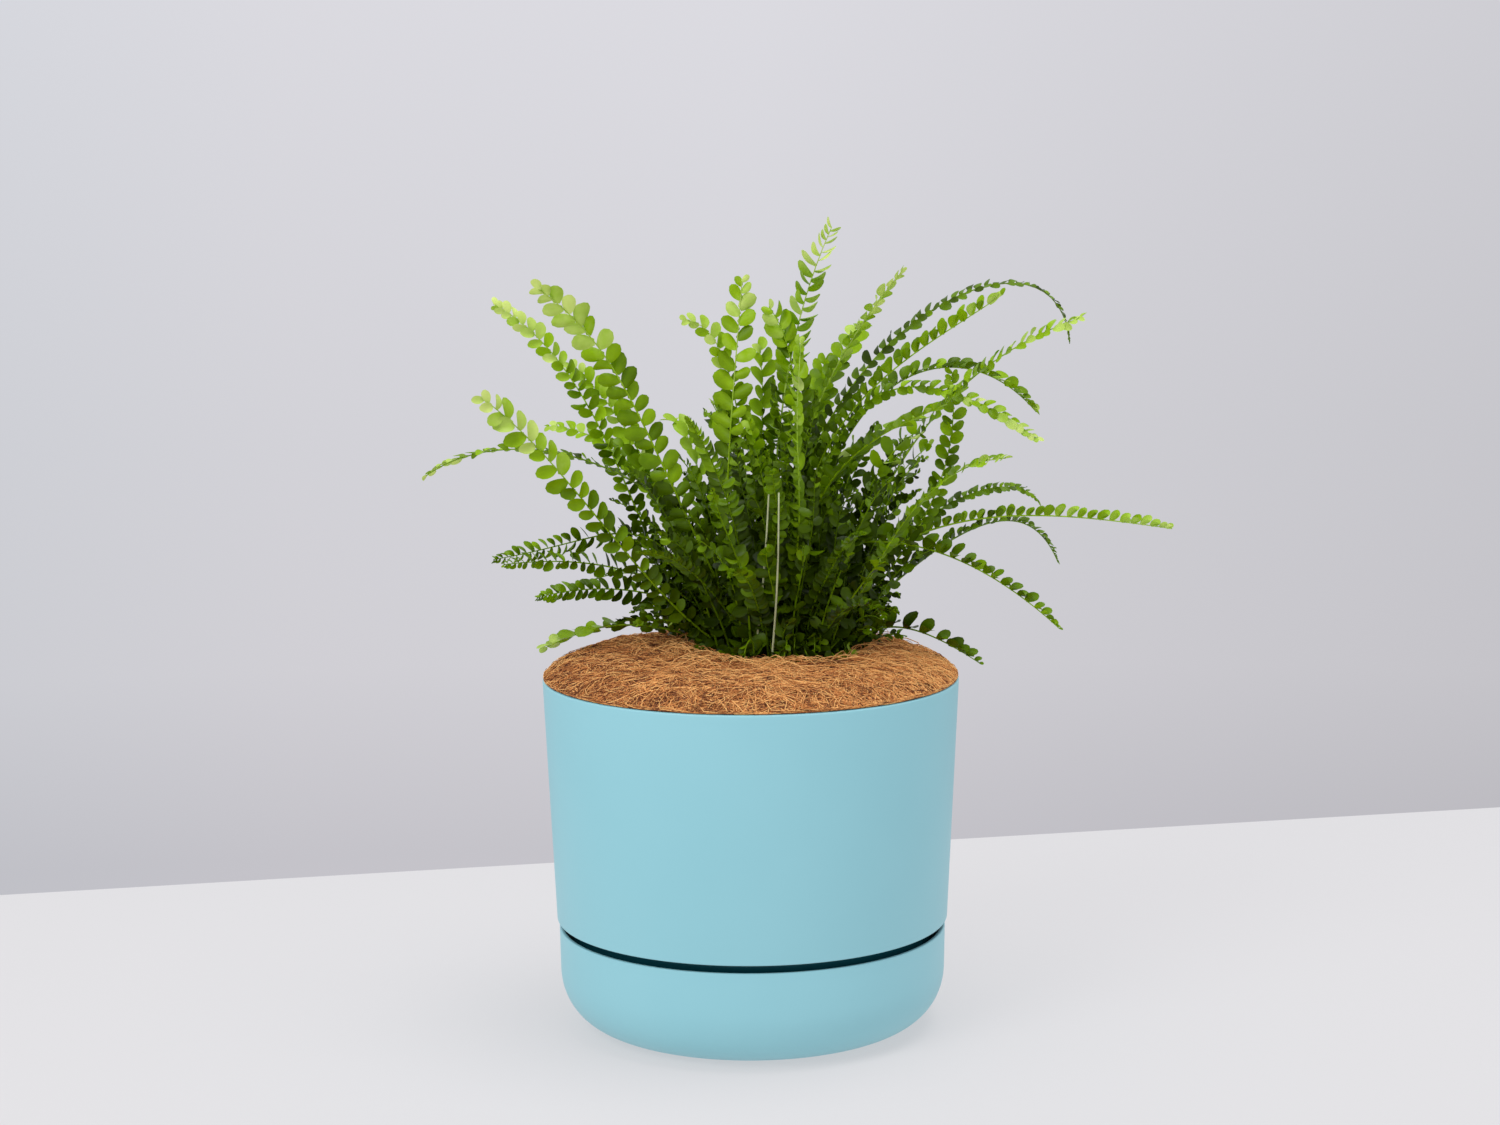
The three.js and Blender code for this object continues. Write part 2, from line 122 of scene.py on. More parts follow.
def make_stage():
    near_left, near_right = (-5.0, -5.0), (5.0, -5.0)
    corners = [near_left, near_right, FLOOR_BACK[1], FLOOR_BACK[0]]
    mesh = bpy.data.meshes.new("floor")
    mesh.from_pydata([(x, y, 0) for x, y in corners], [], [(0, 1, 2, 3)])
    floor = bpy.data.objects.new("floor", mesh)
    scene.collection.objects.link(floor)
    material, _, _, shader = new_material("floor")
    shader.inputs["Base Color"].default_value = (0.23, 0.226, 0.224, 1)
    shader.inputs["Roughness"].default_value = 0.8
    shader.inputs["Specular IOR Level"].default_value = 0.2
    shader.inputs["Emission Color"].default_value = (0.98, 0.97, 1.0, 1)
    shader.inputs["Emission Strength"].default_value = 0.495
    mesh.materials.append(material)


def make_world():
    """A pale grey studio wall: darker towards the floor line and the right, and brightest up the middle."""
    world = bpy.data.worlds.new("studio")
    world.use_nodes = True
    nodes, links = world.node_tree.nodes, world.node_tree.links
    background = nodes["Background"]
    place = nodes.new("ShaderNodeTexCoord")
    split = nodes.new("ShaderNodeSeparateXYZ")
    links.new(place.outputs["Generated"], split.inputs[0])
    bands = [
        ("Z", -0.25, 0.05, [(0.05, (0.56, 0.55, 0.59)), (0.25, (0.64, 0.63, 0.668)),
                            (0.5, (0.655, 0.65, 0.69)), (1.0, (0.715, 0.71, 0.755))]),
        ("X", -0.3, 0.3, [(0.05, (0.93, 0.955, 0.96)), (0.25, (0.99, 0.99, 0.99)), (0.5, (1, 1, 1)),
                          (0.95, (0.86, 0.86, 0.86))]),
    ]
    ramps = []
    for axis, low, high, stops in bands:
        spread = nodes.new("ShaderNodeMapRange")
        spread.inputs["From Min"].default_value = low
        spread.inputs["From Max"].default_value = high
        links.new(split.outputs[axis], spread.inputs["Value"])
        ramps.append(add_ramp(nodes, links, spread.outputs["Result"], stops))
    product = nodes.new("ShaderNodeVectorMath")
    product.operation = "MULTIPLY"
    links.new(ramps[0], product.inputs[0])
    links.new(ramps[1], product.inputs[1])
    links.new(product.outputs["Vector"], background.inputs["Color"])
    background.inputs["Strength"].default_value = 1.0
    scene.world = world


def area_light(name, place, power, colour):
    data = bpy.data.lights.new(name, "AREA")
    data.shape = "DISK"
    data.size = LAMP_SIZE
    data.energy = power
    data.color = colour
    lamp = bpy.data.objects.new(name, data)
    scene.collection.objects.link(lamp)
    lamp.location = place
    aim = Vector(LAMP_TARGET) - Vector(place)
    lamp.rotation_euler = aim.to_track_quat("-Z", "Y").to_euler()


scene.view_settings.view_transform = "Standard"
make_camera()
make_stage()
make_world()
area_light("key", (-1.6, -1.9, 2.2), 30, (1.0, 0.995, 0.98))
area_light("top", (0.45, -0.1, 2.4), 26.5, (0.99, 0.995, 1.0))

# ------------------------------------------------------------------ mesh helpers


def add_piece(name, mesh, material, body, slot, *replaced):
    """A new piece that rides on a CAD body, with the given material, and stands for CAD nodes, which it
    hides. Its slot is not used.
    """
    piece = bpy.data.objects.new(name, mesh)
    scene.collection.objects.link(piece)
    if not mesh.materials:
        mesh.materials.append(material)
    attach(piece, body)
    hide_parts(*replaced)


def mesh_from(name, points, faces):
    mesh = bpy.data.meshes.new(name)
    mesh.from_pydata(points, [], faces)
    mesh.polygons.foreach_set("use_smooth", [True] * len(mesh.polygons))
    mesh.update()
    return mesh


def lathe(name, outline, steps=ROUND_STEPS):
    """A closed turned solid. The outline is (radius, z) points, anticlockwise. Points on the axis weld."""
    closed_on_axis = outline[0][0] == 0 and outline[-1][0] == 0
    points = []
    rows = []
    for radius, z in outline:
        if radius == 0:
            rows.append([len(points)] * steps)
            points.append((0, 0, z))
        else:
            rows.append(list(range(len(points), len(points) + steps)))
            for i in range(steps):
                turn = 2 * math.pi * i / steps
                points.append((radius * math.cos(turn), radius * math.sin(turn), z))
    faces = []
    pairs = list(zip(rows, rows[1:]))
    if not closed_on_axis:
        pairs.append((rows[-1], rows[0]))
    for low, high in pairs:
        for i in range(steps):
            j = (i + 1) % steps
            corner = [low[i], low[j], high[j], high[i]]
            kept = [c for k, c in enumerate(corner) if c not in corner[:k]]
            if len(kept) > 2:
                faces.append(kept)
    mesh = mesh_from(name, points, faces)
    mesh.set_sharp_from_angle(angle=math.radians(40))
    return mesh


def arc(centre, radius, start, end, steps=6):
    """Points of a round stretch of outline: centre is (radius, z), angles are in degrees."""
    turns = [math.radians(start + (end - start) * i / steps) for i in range(steps + 1)]
    return [(centre[0] + radius * math.cos(t), centre[1] + radius * math.sin(t)) for t in turns]


def block(angle, radius, length, width, low, high):
    """A block whose middle lies radius out along a spoke, at an angle from the X axis."""
    shape = bmesh.new()
    bmesh.ops.create_cube(shape, size=1)
    bmesh.ops.scale(shape, vec=(length, width, high - low), verts=shape.verts)
    bmesh.ops.translate(shape, vec=(radius, 0, (low + high) / 2), verts=shape.verts)
    bmesh.ops.rotate(shape, matrix=Matrix.Rotation(angle, 3, "Z"), verts=shape.verts)
    mesh = bpy.data.meshes.new("cutter")
    shape.to_mesh(mesh)
    shape.free()
    return mesh


def combined(meshes):
    """Several meshes as one."""
    shape = bmesh.new()
    for mesh in meshes:
        shape.from_mesh(mesh)
    together = bpy.data.meshes.new("together")
    shape.to_mesh(together)
    shape.free()
    return together


def boolean(mesh, tool, operation):
    """Joins, cuts or intersects one mesh with another and returns the result, without materials."""
    work = bpy.data.objects.new("work", mesh)
    other = bpy.data.objects.new("tool", tool)
    scene.collection.objects.link(work)
    scene.collection.objects.link(other)
    step = work.modifiers.new("cut", "BOOLEAN")
    step.operation = operation
    step.solver = "EXACT"
    step.object = other
    bpy.context.view_layer.update()
    result = bpy.data.meshes.new_from_object(work.evaluated_get(bpy.context.evaluated_depsgraph_get()))
    bpy.data.objects.remove(work)
    bpy.data.objects.remove(other)
    result.materials.clear()
    result.polygons.foreach_set("use_smooth", [True] * len(result.polygons))
    result.set_sharp_from_angle(angle=math.radians(35))
    return result


def spokes(count, first=0.0):
    return [first + 2 * math.pi * i / count for i in range(count)]


# ------------------------------------------------------------------ materials


def add_noise(nodes, links, place, scale, detail=4, roughness=0.5):
    noise = nodes.new("ShaderNodeTexNoise")
    noise.inputs["Scale"].default_value = scale
    noise.inputs["Detail"].default_value = detail
    noise.inputs["Roughness"].default_value = roughness
    links.new(place.outputs["Object"], noise.inputs["Vector"])
    return noise.outputs["Fac"]


def add_math(nodes, links, operation, *values):
    """A maths node's output. Each value is a number or another node's output."""
    node = nodes.new("ShaderNodeMath")
    node.operation = operation
    for socket, value in zip(node.inputs, values):
        if isinstance(value, float):
            socket.default_value = value
        else:
            links.new(value, socket)
    return node.outputs[0]


def add_bump(nodes, links, height, strength, distance, after=None):
    bump = nodes.new("ShaderNodeBump")
    bump.inputs["Strength"].default_value = strength
    bump.inputs["Distance"].default_value = distance
    links.new(height, bump.inputs["Height"])
    if after is not None:
        links.new(after, bump.inputs["Normal"])
    return bump.outputs["Normal"]


def moulded_plastic(name, light, dark, roughness):
    """Satin injection-moulded plastic: faint mottling in colour and gloss, and a very fine spark texture."""
    material, nodes, links, shader = new_material(name)
    place = nodes.new("ShaderNodeTexCoord")
    cloud = add_noise(nodes, links, place, 9, 3)
    tone = add_ramp(nodes, links, cloud, [(0.3, dark), (0.7, light)])
    links.new(tone, shader.inputs["Base Color"])
    gloss = nodes.new("ShaderNodeMapRange")
    gloss.inputs["To Min"].default_value = roughness - 0.03
    gloss.inputs["To Max"].default_value = roughness + 0.05
    smear = add_noise(nodes, links, place, 26, 5)
    links.new(smear, gloss.inputs["Value"])
    links.new(gloss.outputs["Result"], shader.inputs["Roughness"])
    grain = add_noise(nodes, links, place, 2600, 2)
    flow = add_noise(nodes, links, place, 14, 1)
    fine = add_bump(nodes, links, grain, 0.06, 0.00006)
    wave = add_bump(nodes, links, flow, 0.10, 0.0008, fine)
    links.new(wave, shader.inputs["Normal"])
    shader.inputs["IOR"].default_value = 1.49
    shader.inputs["Specular IOR Level"].default_value = 0.4
    return material


def crumbly(name, stops, scale, distance):
    """Soil or root ball: clods of several tones with a rough surface."""
    material, nodes, links, shader = new_material(name)
    place = nodes.new("ShaderNodeTexCoord")
    clods = nodes.new("ShaderNodeTexVoronoi")
    clods.inputs["Scale"].default_value = scale
    links.new(place.outputs["Object"], clods.inputs["Vector"])
    dust = add_noise(nodes, links, place, scale * 2.2, 6, 0.7)
    both = add_math(nodes, links, "ADD", clods.outputs["Distance"], dust)
    depth = add_math(nodes, links, "MULTIPLY", both, 0.62)
    tone = add_ramp(nodes, links, depth, stops)
    links.new(tone, shader.inputs["Base Color"])
    shader.inputs["Roughness"].default_value = 0.92
    bump = add_bump(nodes, links, depth, 0.9, distance)
    links.new(bump, shader.inputs["Normal"])
    return material


def coir_material(name, stops):
    """Coconut fibre: the tint attribute picks each strand's tone, and fine noise streaks it."""
    material, nodes, links, shader = new_material(name)
    place = nodes.new("ShaderNodeTexCoord")
    tint = nodes.new("ShaderNodeAttribute")
    tint.attribute_name = "tint"
    streak = add_noise(nodes, links, place, 760, 4, 0.65)
    strand = add_math(nodes, links, "MULTIPLY_ADD", tint.outputs["Fac"], 0.75, -0.41)
    streaked = add_math(nodes, links, "MULTIPLY_ADD", streak, 1.1, strand)
    tone = add_ramp(nodes, links, streaked, stops)
    links.new(tone, shader.inputs["Base Color"])
    shader.inputs["Roughness"].default_value = 0.82
    bump = add_bump(nodes, links, streak, 0.5, 0.0006)
    links.new(bump, shader.inputs["Normal"])
    return material


def leaf_material(name, stops, roughness, thinness):
    """Fern green by a tint that is partly age (0 old and dark, 1 young and yellow) and partly painted light
    and shade: dark low and deep in the clump, pale at the tips. Mottled, with light passing through.
    """
    material, nodes, links, shader = new_material(name)
    place = nodes.new("ShaderNodeTexCoord")
    # The tint attribute carries the leaflet's age together with painted shade and painted light.
    age_and_shading = nodes.new("ShaderNodeAttribute")
    age_and_shading.attribute_name = "tint"
    mottle = add_noise(nodes, links, place, 130, 3)
    lowered = add_math(nodes, links, "SUBTRACT", age_and_shading.outputs["Fac"], 0.11)
    mottled = add_math(nodes, links, "MULTIPLY_ADD", mottle, 0.22, lowered)
    tone = add_ramp(nodes, links, mottled, stops)
    links.new(tone, shader.inputs["Base Color"])
    shader.inputs["Roughness"].default_value = roughness
    shader.inputs["Specular IOR Level"].default_value = 0.2
    vein = add_noise(nodes, links, place, 900, 2)
    bump = add_bump(nodes, links, vein, 0.08, 0.0002)
    links.new(bump, shader.inputs["Normal"])
    glow = nodes.new("ShaderNodeBsdfTranslucent")
    links.new(tone, glow.inputs["Color"])
    both = nodes.new("ShaderNodeMixShader")
    both.inputs["Fac"].default_value = thinness
    links.new(shader.outputs["BSDF"], both.inputs[1])
    links.new(glow.outputs["BSDF"], both.inputs[2])
    links.new(both.outputs["Shader"], nodes["Material Output"].inputs["Surface"])
    return material


POT_BLUE = moulded_plastic("pot_blue_plastic", (0.322, 0.655, 0.725), (0.305, 0.635, 0.705), 0.42)
# Near-black teal on the same blue plastic: painted shade for the pot's neck and the underside of its skirt,
# down in the gap over the saucer.
NECK_PAINTED_SHADE = moulded_plastic("neck_painted_shade", (0.008, 0.100, 0.126), (0.006, 0.082, 0.104), 0.22)
CHARCOAL = moulded_plastic("charcoal_plastic", (0.026, 0.030, 0.034), (0.018, 0.021, 0.024), 0.5)
SOIL = crumbly("potting_mix", [(0.2, (0.012, 0.007, 0.004)), (0.5, (0.045, 0.026, 0.014)),
                               (0.75, (0.10, 0.062, 0.034)), (0.95, (0.30, 0.24, 0.17))], 420, 0.0014)
ROOTS = crumbly("root_ball", [(0.2, (0.03, 0.018, 0.010)), (0.55, (0.13, 0.08, 0.042)),
                              (0.9, (0.36, 0.26, 0.16))], 260, 0.0012)
COIR = coir_material("coir_fibre", [(0.15, (0.14, 0.037, 0.008)), (0.38, (0.46, 0.158, 0.037)),
                                    (0.60, (0.71, 0.285, 0.072)), (0.85, (1.0, 0.56, 0.19))])
LEAF = leaf_material("fern_leaf", [(0.0, (0.020, 0.040, 0.001)), (0.25, (0.066, 0.120, 0.001)),
                                   (0.5, (0.180, 0.330, 0.001)), (0.75, (0.40, 0.63, 0.006)),
                                   (1.0, (0.79, 0.90, 0.30))], 0.33, 0.36)
STEM = leaf_material("fern_stem", [(0.0, (0.07, 0.075, 0.018)), (0.5, (0.25, 0.29, 0.08)),
                                   (1.0, (0.62, 0.66, 0.40))], 0.5, 0.0)

# ------------------------------------------------------------------ pot and saucer


def corner_arc(wall_radius, bottom, steps=20):
    """The saucer's rounded corner, from its foot up to its wall, for one skin."""
    points = []
    for i in range(steps + 1):
        turn = i / steps * math.pi / 2
        out = math.sin(turn) ** (2 / CORNER_POWER)
        up = 1 - max(math.cos(turn), 0) ** (2 / CORNER_POWER)
        points.append((FOOT_RADIUS + (wall_radius - FOOT_RADIUS) * out, bottom + (CORNER_Z - bottom) * up))
    return points


def make_saucer():
    groove_in, groove_out, groove_z = 30 * MM, 68 * MM, 1.2 * MM
    lip = 0.9 * MM
    inner_top = SAUCER_TOP_RADIUS - SAUCER_WALL
    outline = [(0, 0), (groove_in, 0), (groove_in + 0.5 * MM, groove_z), (groove_out - 0.5 * MM, groove_z)]
    outline += [(groove_out, 0)]
    outline += corner_arc(CORNER_RADIUS, 0)
    outline += arc((SAUCER_TOP_RADIUS - lip, SAUCER_TOP_Z - lip), lip, 0, 90)
    outline += arc((inner_top + lip, SAUCER_TOP_Z - lip), lip, 90, 180)[1:]
    outline += corner_arc(CORNER_RADIUS - SAUCER_WALL, SAUCER_FLOOR)[::-1]
    outline += [(0, SAUCER_FLOOR)]
    shell = lathe("reservoir_saucer_shell", outline)
    inset = 0.8 * MM
    inside = [(0, inset)]
    inside += [(r - inset, z + inset) for r, z in corner_arc(CORNER_RADIUS, 0)]
    inside += [(SAUCER_TOP_RADIUS - inset, SAUCER_TOP_Z - MM), (0, SAUCER_TOP_Z - MM)]
    root_z = 1.5 * MM  # inside the floor's thickness, so that fins and ring join it
    seat_z = POT_FLOOR_Z - 0.3 * MM
    step_z = 52 * MM
    fin_middle, fin_length, fin_width = 89 * MM, 54 * MM, 2.5 * MM
    step_middle, step_length = 113.6 * MM, 4.8 * MM
    diagonals = spokes(4, math.pi / 4)
    fins = combined([block(a, fin_middle, fin_length, fin_width, root_z, seat_z) for a in diagonals])
    steps = combined([block(a, step_middle, step_length, fin_width, root_z, step_z) for a in diagonals])
    supports = boolean(boolean(fins, steps, "UNION"), lathe("envelope", inside), "INTERSECT")
    ring_in, ring_out, ring_top = 30 * MM, 32.4 * MM, 11 * MM
    soft = 0.6 * MM
    outline = [(ring_in, root_z), (ring_out, root_z), (ring_out, ring_top - soft)]
    outline += [(ring_out - soft, ring_top), (ring_in + soft, ring_top), (ring_in, ring_top - soft)]
    notch = 8 * MM
    notches = combined([block(a, 31.2 * MM, notch, notch, 4 * MM, 12 * MM) for a in spokes(4)])
    ring = boolean(lathe("ring", outline), notches, "DIFFERENCE")
    mesh = boolean(boolean(shell, supports, "UNION"), ring, "UNION")
    add_piece("reservoir_saucer_moulded", mesh, POT_BLUE, "saucer", "pot_plastic", "reservoir_saucer")


def pot_inside(z):
    rise = (z - SKIRT_Z) / (RIM_Z - SKIRT_Z)
    return SKIRT_RADIUS + (RIM_RADIUS - SKIRT_RADIUS) * rise - POT_WALL


def make_pot():
    ledge_top = SKIRT_Z + POT_WALL
    floor_top = POT_FLOOR_Z + POT_FLOOR
    neck_in = NECK_FOOT_RADIUS - NECK_WALL
    neck_corner = 3 * MM
    edge = 0.8 * MM
    rim = POT_WALL / 2
    hole = 33 * MM
    outline = [(hole, POT_FLOOR_Z)]
    outline += arc((NECK_FOOT_RADIUS - neck_corner, POT_FLOOR_Z + neck_corner), neck_corner, -90, 0)
    outline += [(NECK_RADIUS, SKIRT_Z)]
    outline += arc((SKIRT_RADIUS - edge, SKIRT_Z + edge), edge, -90, 0)
    outline += arc((RIM_RADIUS - rim, RIM_Z - rim), rim, 0, 180, 12)
    outline += [(pot_inside(ledge_top + 2 * MM), ledge_top + 2 * MM)]
    outline += [(pot_inside(ledge_top) - 2 * MM, ledge_top), (NECK_RADIUS - NECK_WALL, ledge_top)]
    outline += [(neck_in, floor_top + MM), (neck_in - MM, floor_top), (hole, floor_top)]
    shell = lathe("pot_wall", outline)
    slot = (68 * MM, 16 * MM, 3.5 * MM, POT_FLOOR_Z - MM, floor_top + MM)
    slots = combined([block(a, *slot) for a in spokes(12)])
    mesh = boolean(shell, slots, "DIFFERENCE")
    mesh.materials.append(POT_BLUE)
    mesh.materials.append(NECK_PAINTED_SHADE)
    # Faces on the neck below the skirt, and under the skirt's step, take the dark material: painted shade in
    # the recessed gap.
    for face in mesh.polygons:
        away = math.hypot(face.center.x, face.center.y)
        under_step = abs(face.center.z - SKIRT_Z) < 0.1 * MM and away < SKIRT_RADIUS - 2 * MM
        on_neck = face.center.z < SKIRT_Z and away > NECK_FOOT_RADIUS - MM
        face.material_index = int(on_neck or under_step)
    add_piece("pot_moulded", mesh, POT_BLUE, "pot", "pot_plastic", "pot_shell")


def smooth_cad_node(node, material):
    """A CAD node that stays, with smooth round walls, crisp edges and its own material."""
    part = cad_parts[node]
    part.data.polygons.foreach_set("use_smooth", [True] * len(part.data.polygons))
    part.data.set_sharp_from_angle(angle=math.radians(35))
    part.data.materials.clear()
    part.data.materials.append(material)


make_saucer()
make_pot()
smooth_cad_node("wick_basket", CHARCOAL)
smooth_cad_node("drainage_platform", CHARCOAL)

# ------------------------------------------------------------------ tubes and strands


def tubes(lines, radii, sides):
    """Closed tubes along many lines at once.

    lines is (count, steps, 3), radii is (count, steps). Returns points and quads.
    """
    count, steps = lines.shape[:2]
    along = np.gradient(lines, axis=1)
    along /= np.linalg.norm(along, axis=2, keepdims=True) + 1e-12
    mean = along.mean(axis=1)
    smallest = np.argmin(np.abs(mean), axis=1)
    helper = np.eye(3)[smallest][:, None, :]
    first = np.cross(along, helper)
    first /= np.linalg.norm(first, axis=2, keepdims=True) + 1e-12
    second = np.cross(along, first)
    turn = 2 * np.pi * np.arange(sides) / sides
    ring = (first[:, :, None, :] * np.cos(turn)[None, None, :, None]
            + second[:, :, None, :] * np.sin(turn)[None, None, :, None])
    points = lines[:, :, None, :] + ring * radii[:, :, None, None]
    grid = np.arange(count * steps * sides).reshape(count, steps, sides)
    over = np.roll(grid, -1, axis=2)
    walls = np.stack([grid[:, :-1], over[:, :-1], over[:, 1:], grid[:, 1:]], axis=-1).reshape(-1, 4)
    caps = []
    for k in range(sides // 2 - 1):
        low, high = k + 1, sides - 1 - k
        corners = [k, low, high - 1, high] if sides > 4 else [0, 1, 2, 3]
        caps.append(grid[:, 0][:, corners[::-1]])
        caps.append(grid[:, -1][:, corners])
    quads = np.concatenate([walls, *caps])
    return points.reshape(-1, 3), quads


def strand_mesh(name, parts):
    """One mesh from several (points, quads, tint per point) parts, with the tint kept as an attribute."""
    points, quads, tints = zip(*parts)
    firsts = np.cumsum([0] + [len(p) for p in points[:-1]])
    quads = np.concatenate([q + first for q, first in zip(quads, firsts)])
    mesh = mesh_from(name, np.concatenate(points).tolist(), quads.tolist())
    attribute = mesh.attributes.new("tint", "FLOAT", "POINT")
    attribute.data.foreach_set("value", np.concatenate(tints).astype(np.float32))
    return mesh


# ------------------------------------------------------------------ coir mulch

COIR_EDGE = 121.9 * MM
COIR_OVERHANG = 124.4 * MM
COIR_UNDER_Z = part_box("coir_mulch")[0].z
COIR_SIDE_DRAW = 1.4 * MM  # how far the mat's side leans in at its foot, clear of the pot
COIR_SIDE_ROWS = 8
COIR_EDGE_RISE = 2.4 * MM
COIR_DOME = 11.5 * MM
STRAND_STEPS = 5
STRAND_SIDES = 4


def soft_noise(x, y, scale, seed):
    """A smooth bumpy number, mostly from -1 to 1, for arrays of places, from a few crossed waves."""
    rng = np.random.default_rng(seed)
    total = np.zeros_like(x)
    for _ in range(7):
        heading = rng.uniform(0, 2 * np.pi)
        pitch = rng.uniform(0.6, 1.6) * 2 * np.pi / scale
        shift = rng.uniform(0, 2 * np.pi)
        total += np.sin((x * np.cos(heading) + y * np.sin(heading)) * pitch + shift)
    return total / 4


def hole_radius(turn):
    """How far the plant's torn hole reaches from the crown: further at the front, with a ragged edge."""
    front = np.clip(-np.sin(turn), 0, 1)
    ragged = 1.2 * np.sin(5 * turn + 1) + 0.8 * np.sin(11 * turn)
    return COIR_HOLE_RADIUS + (5 * front + ragged) * MM


def coir_height(x, y):
    """Height of the mat's top: a dome that meets the rim, soft lumps, and a dip round the plant's hole."""
    away = np.clip(np.hypot(x, y) / COIR_EDGE, 0, 1)
    dome = COIR_EDGE_RISE + COIR_DOME * (1 - away ** 6) ** 0.8
    dome = dome + 3.0 * MM * np.clip(y / COIR_EDGE, 0, 1) * away ** 4
    turn = np.arctan2(y - CROWN.y, x - CROWN.x)
    to_hole = np.hypot(x - CROWN.x, y - CROWN.y) - hole_radius(turn)
    front = np.clip(-np.sin(turn), 0, 1)
    lip = 1.2 * MM * (1 - front) * np.exp(-((to_hole - 8 * MM) / (9 * MM)) ** 2)
    sag = -(3.5 + 3.0 * front) * MM * np.exp(-np.clip(to_hole, 0, None) / ((6 + 7 * front) * MM))
    calm = np.clip((1 - away) * 8, 0, 1)
    lumps = (0.9 * MM * soft_noise(x, y, 38 * MM, 3) + 0.45 * MM * soft_noise(x, y, 13 * MM, 5)) * calm
    return RIM_Z + dome + lip + sag + lumps


def coir_mat():
    """The mat's body: a thick disc with a hole, its top finely rumpled."""
    rings, steps = 84, 288
    rng = np.random.default_rng(11)
    share = np.linspace(0, 1, rings)[:, None]
    turn = np.linspace(0, 2 * np.pi, steps, endpoint=False)[None, :]
    hole_x = CROWN.x + hole_radius(turn) * np.cos(turn)
    hole_y = CROWN.y + hole_radius(turn) * np.sin(turn)
    edge_x = COIR_EDGE * np.cos(turn)
    edge_y = COIR_EDGE * np.sin(turn)
    x = hole_x + (edge_x - hole_x) * share
    y = hole_y + (edge_y - hole_y) * share
    z = coir_height(x, y) - 0.8 * MM + rng.uniform(-0.45, 0.35, x.shape) * MM
    top = np.stack([x, y, z], axis=-1)
    down = np.linspace(0, 1, COIR_SIDE_ROWS)[1:, None]
    side_radius = COIR_EDGE - COIR_SIDE_DRAW * down ** 0.5 - rng.uniform(0, 0.7, (len(down), steps)) * MM
    side_z = z[-1] + (COIR_UNDER_Z - z[-1]) * down
    side = np.stack([side_radius * np.cos(turn), side_radius * np.sin(turn), side_z], axis=-1)
    hole = np.stack([x[[0]], y[[0]], np.full((1, steps), COIR_UNDER_Z)], axis=-1)
    rows = np.concatenate([top, side, hole])
    grid = np.arange(len(rows) * steps).reshape(len(rows), steps)
    order = np.append(np.arange(len(rows)), 0)
    quads = []
    for a, b in zip(order, order[1:]):
        quads.append(np.stack([grid[a], grid[b], np.roll(grid[b], -1), np.roll(grid[a], -1)], axis=-1))
    # The mat's body gets dark tints, 0 to 0.25: painted shade in the gaps between the fibres that lie on it.
    tint = rng.uniform(0, 0.25, len(rows) * steps)
    return rows.reshape(-1, 3), np.concatenate(quads), tint


def fibres(rng, x, y, heading, bend, reach, width, clearance, pale):
    """Fibres that lie on the mat in loose curves, one from each place. Pairs are (low, high).

    Past the mat's edge they sink towards the pot's rim, and towards the right their tint is raised a little:
    painted light on that side.
    """
    count = len(x)
    t = np.linspace(-0.5, 0.5, STRAND_STEPS)[None, :]
    angle = heading[:, None] + rng.normal(0, bend, count)[:, None] * t
    stride = rng.uniform(*reach, count)[:, None] / (STRAND_STEPS - 1)
    px = x[:, None] + np.cumsum(np.cos(angle) * stride, axis=1) - 2 * stride * np.cos(heading)[:, None]
    py = y[:, None] + np.cumsum(np.sin(angle) * stride, axis=1) - 2 * stride * np.sin(heading)[:, None]
    pull = np.minimum(1, COIR_OVERHANG / np.maximum(np.hypot(px, py), 1e-6))
    px, py = px * pull, py * pull
    lift = rng.uniform(*clearance, count)[:, None] * (1 - 3.6 * t ** 2)
    tilt = rng.normal(0, 0.5 * MM, count)[:, None] * t
    past_edge = np.clip((np.hypot(px, py) - COIR_EDGE) / (COIR_OVERHANG - COIR_EDGE), 0, 1)
    drop = (0.3 + 1.5 * past_edge) * MM
    pz = np.maximum(coir_height(px, py) - drop + lift + tilt, RIM_Z + 0.7 * MM)
    thick = rng.uniform(*width, count)[:, None] * (1 - 0.5 * np.abs(2 * t) ** 3)
    points, quads = tubes(np.stack([px, py, pz], axis=-1), thick / 2, STRAND_SIDES)
    # The 0.17 * x / COIR_EDGE term is painted light: fibres paler on the right and darker on the left.
    tint = np.clip(rng.normal(pale, 0.40, count) + 0.17 * x / COIR_EDGE, 0, 1)
    return points, quads, np.repeat(tint, STRAND_STEPS * STRAND_SIDES)


def scattered_fibres(count, seed, reach, width, clearance, pale):
    """Fibres all over the mat, with a loose common flow."""
    rng = np.random.default_rng(seed)
    far = COIR_OVERHANG * np.sqrt(rng.uniform(0, 1, count * 2))
    turn = rng.uniform(0, 2 * np.pi, count * 2)
    x, y = far * np.cos(turn), far * np.sin(turn)
    around_crown = np.arctan2(y - CROWN.y, x - CROWN.x)
    outside = np.hypot(x - CROWN.x, y - CROWN.y) > hole_radius(around_crown) + 1 * MM
    x, y = x[outside][:count], y[outside][:count]
    heading = 1.5 * soft_noise(x, y, 60 * MM, 8) + rng.normal(0, 1.5, len(x))
    return fibres(rng, x, y, heading, 1.1, reach, width, clearance, pale)


def edge_fibres(count, seed):
    """Fibres that follow the mat's edge over the pot's rim."""
    rng = np.random.default_rng(seed)
    turn = rng.uniform(0, 2 * np.pi, count)
    far = rng.uniform(COIR_EDGE - 1 * MM, COIR_OVERHANG, count)
    heading = turn + np.pi / 2 + rng.normal(0, 0.35, count)
    return fibres(rng, far * np.cos(turn), far * np.sin(turn), heading, 0.6, (8 * MM, 20 * MM),
                  (0.3 * MM, 0.55 * MM), (0, 0.5 * MM), 0.5)


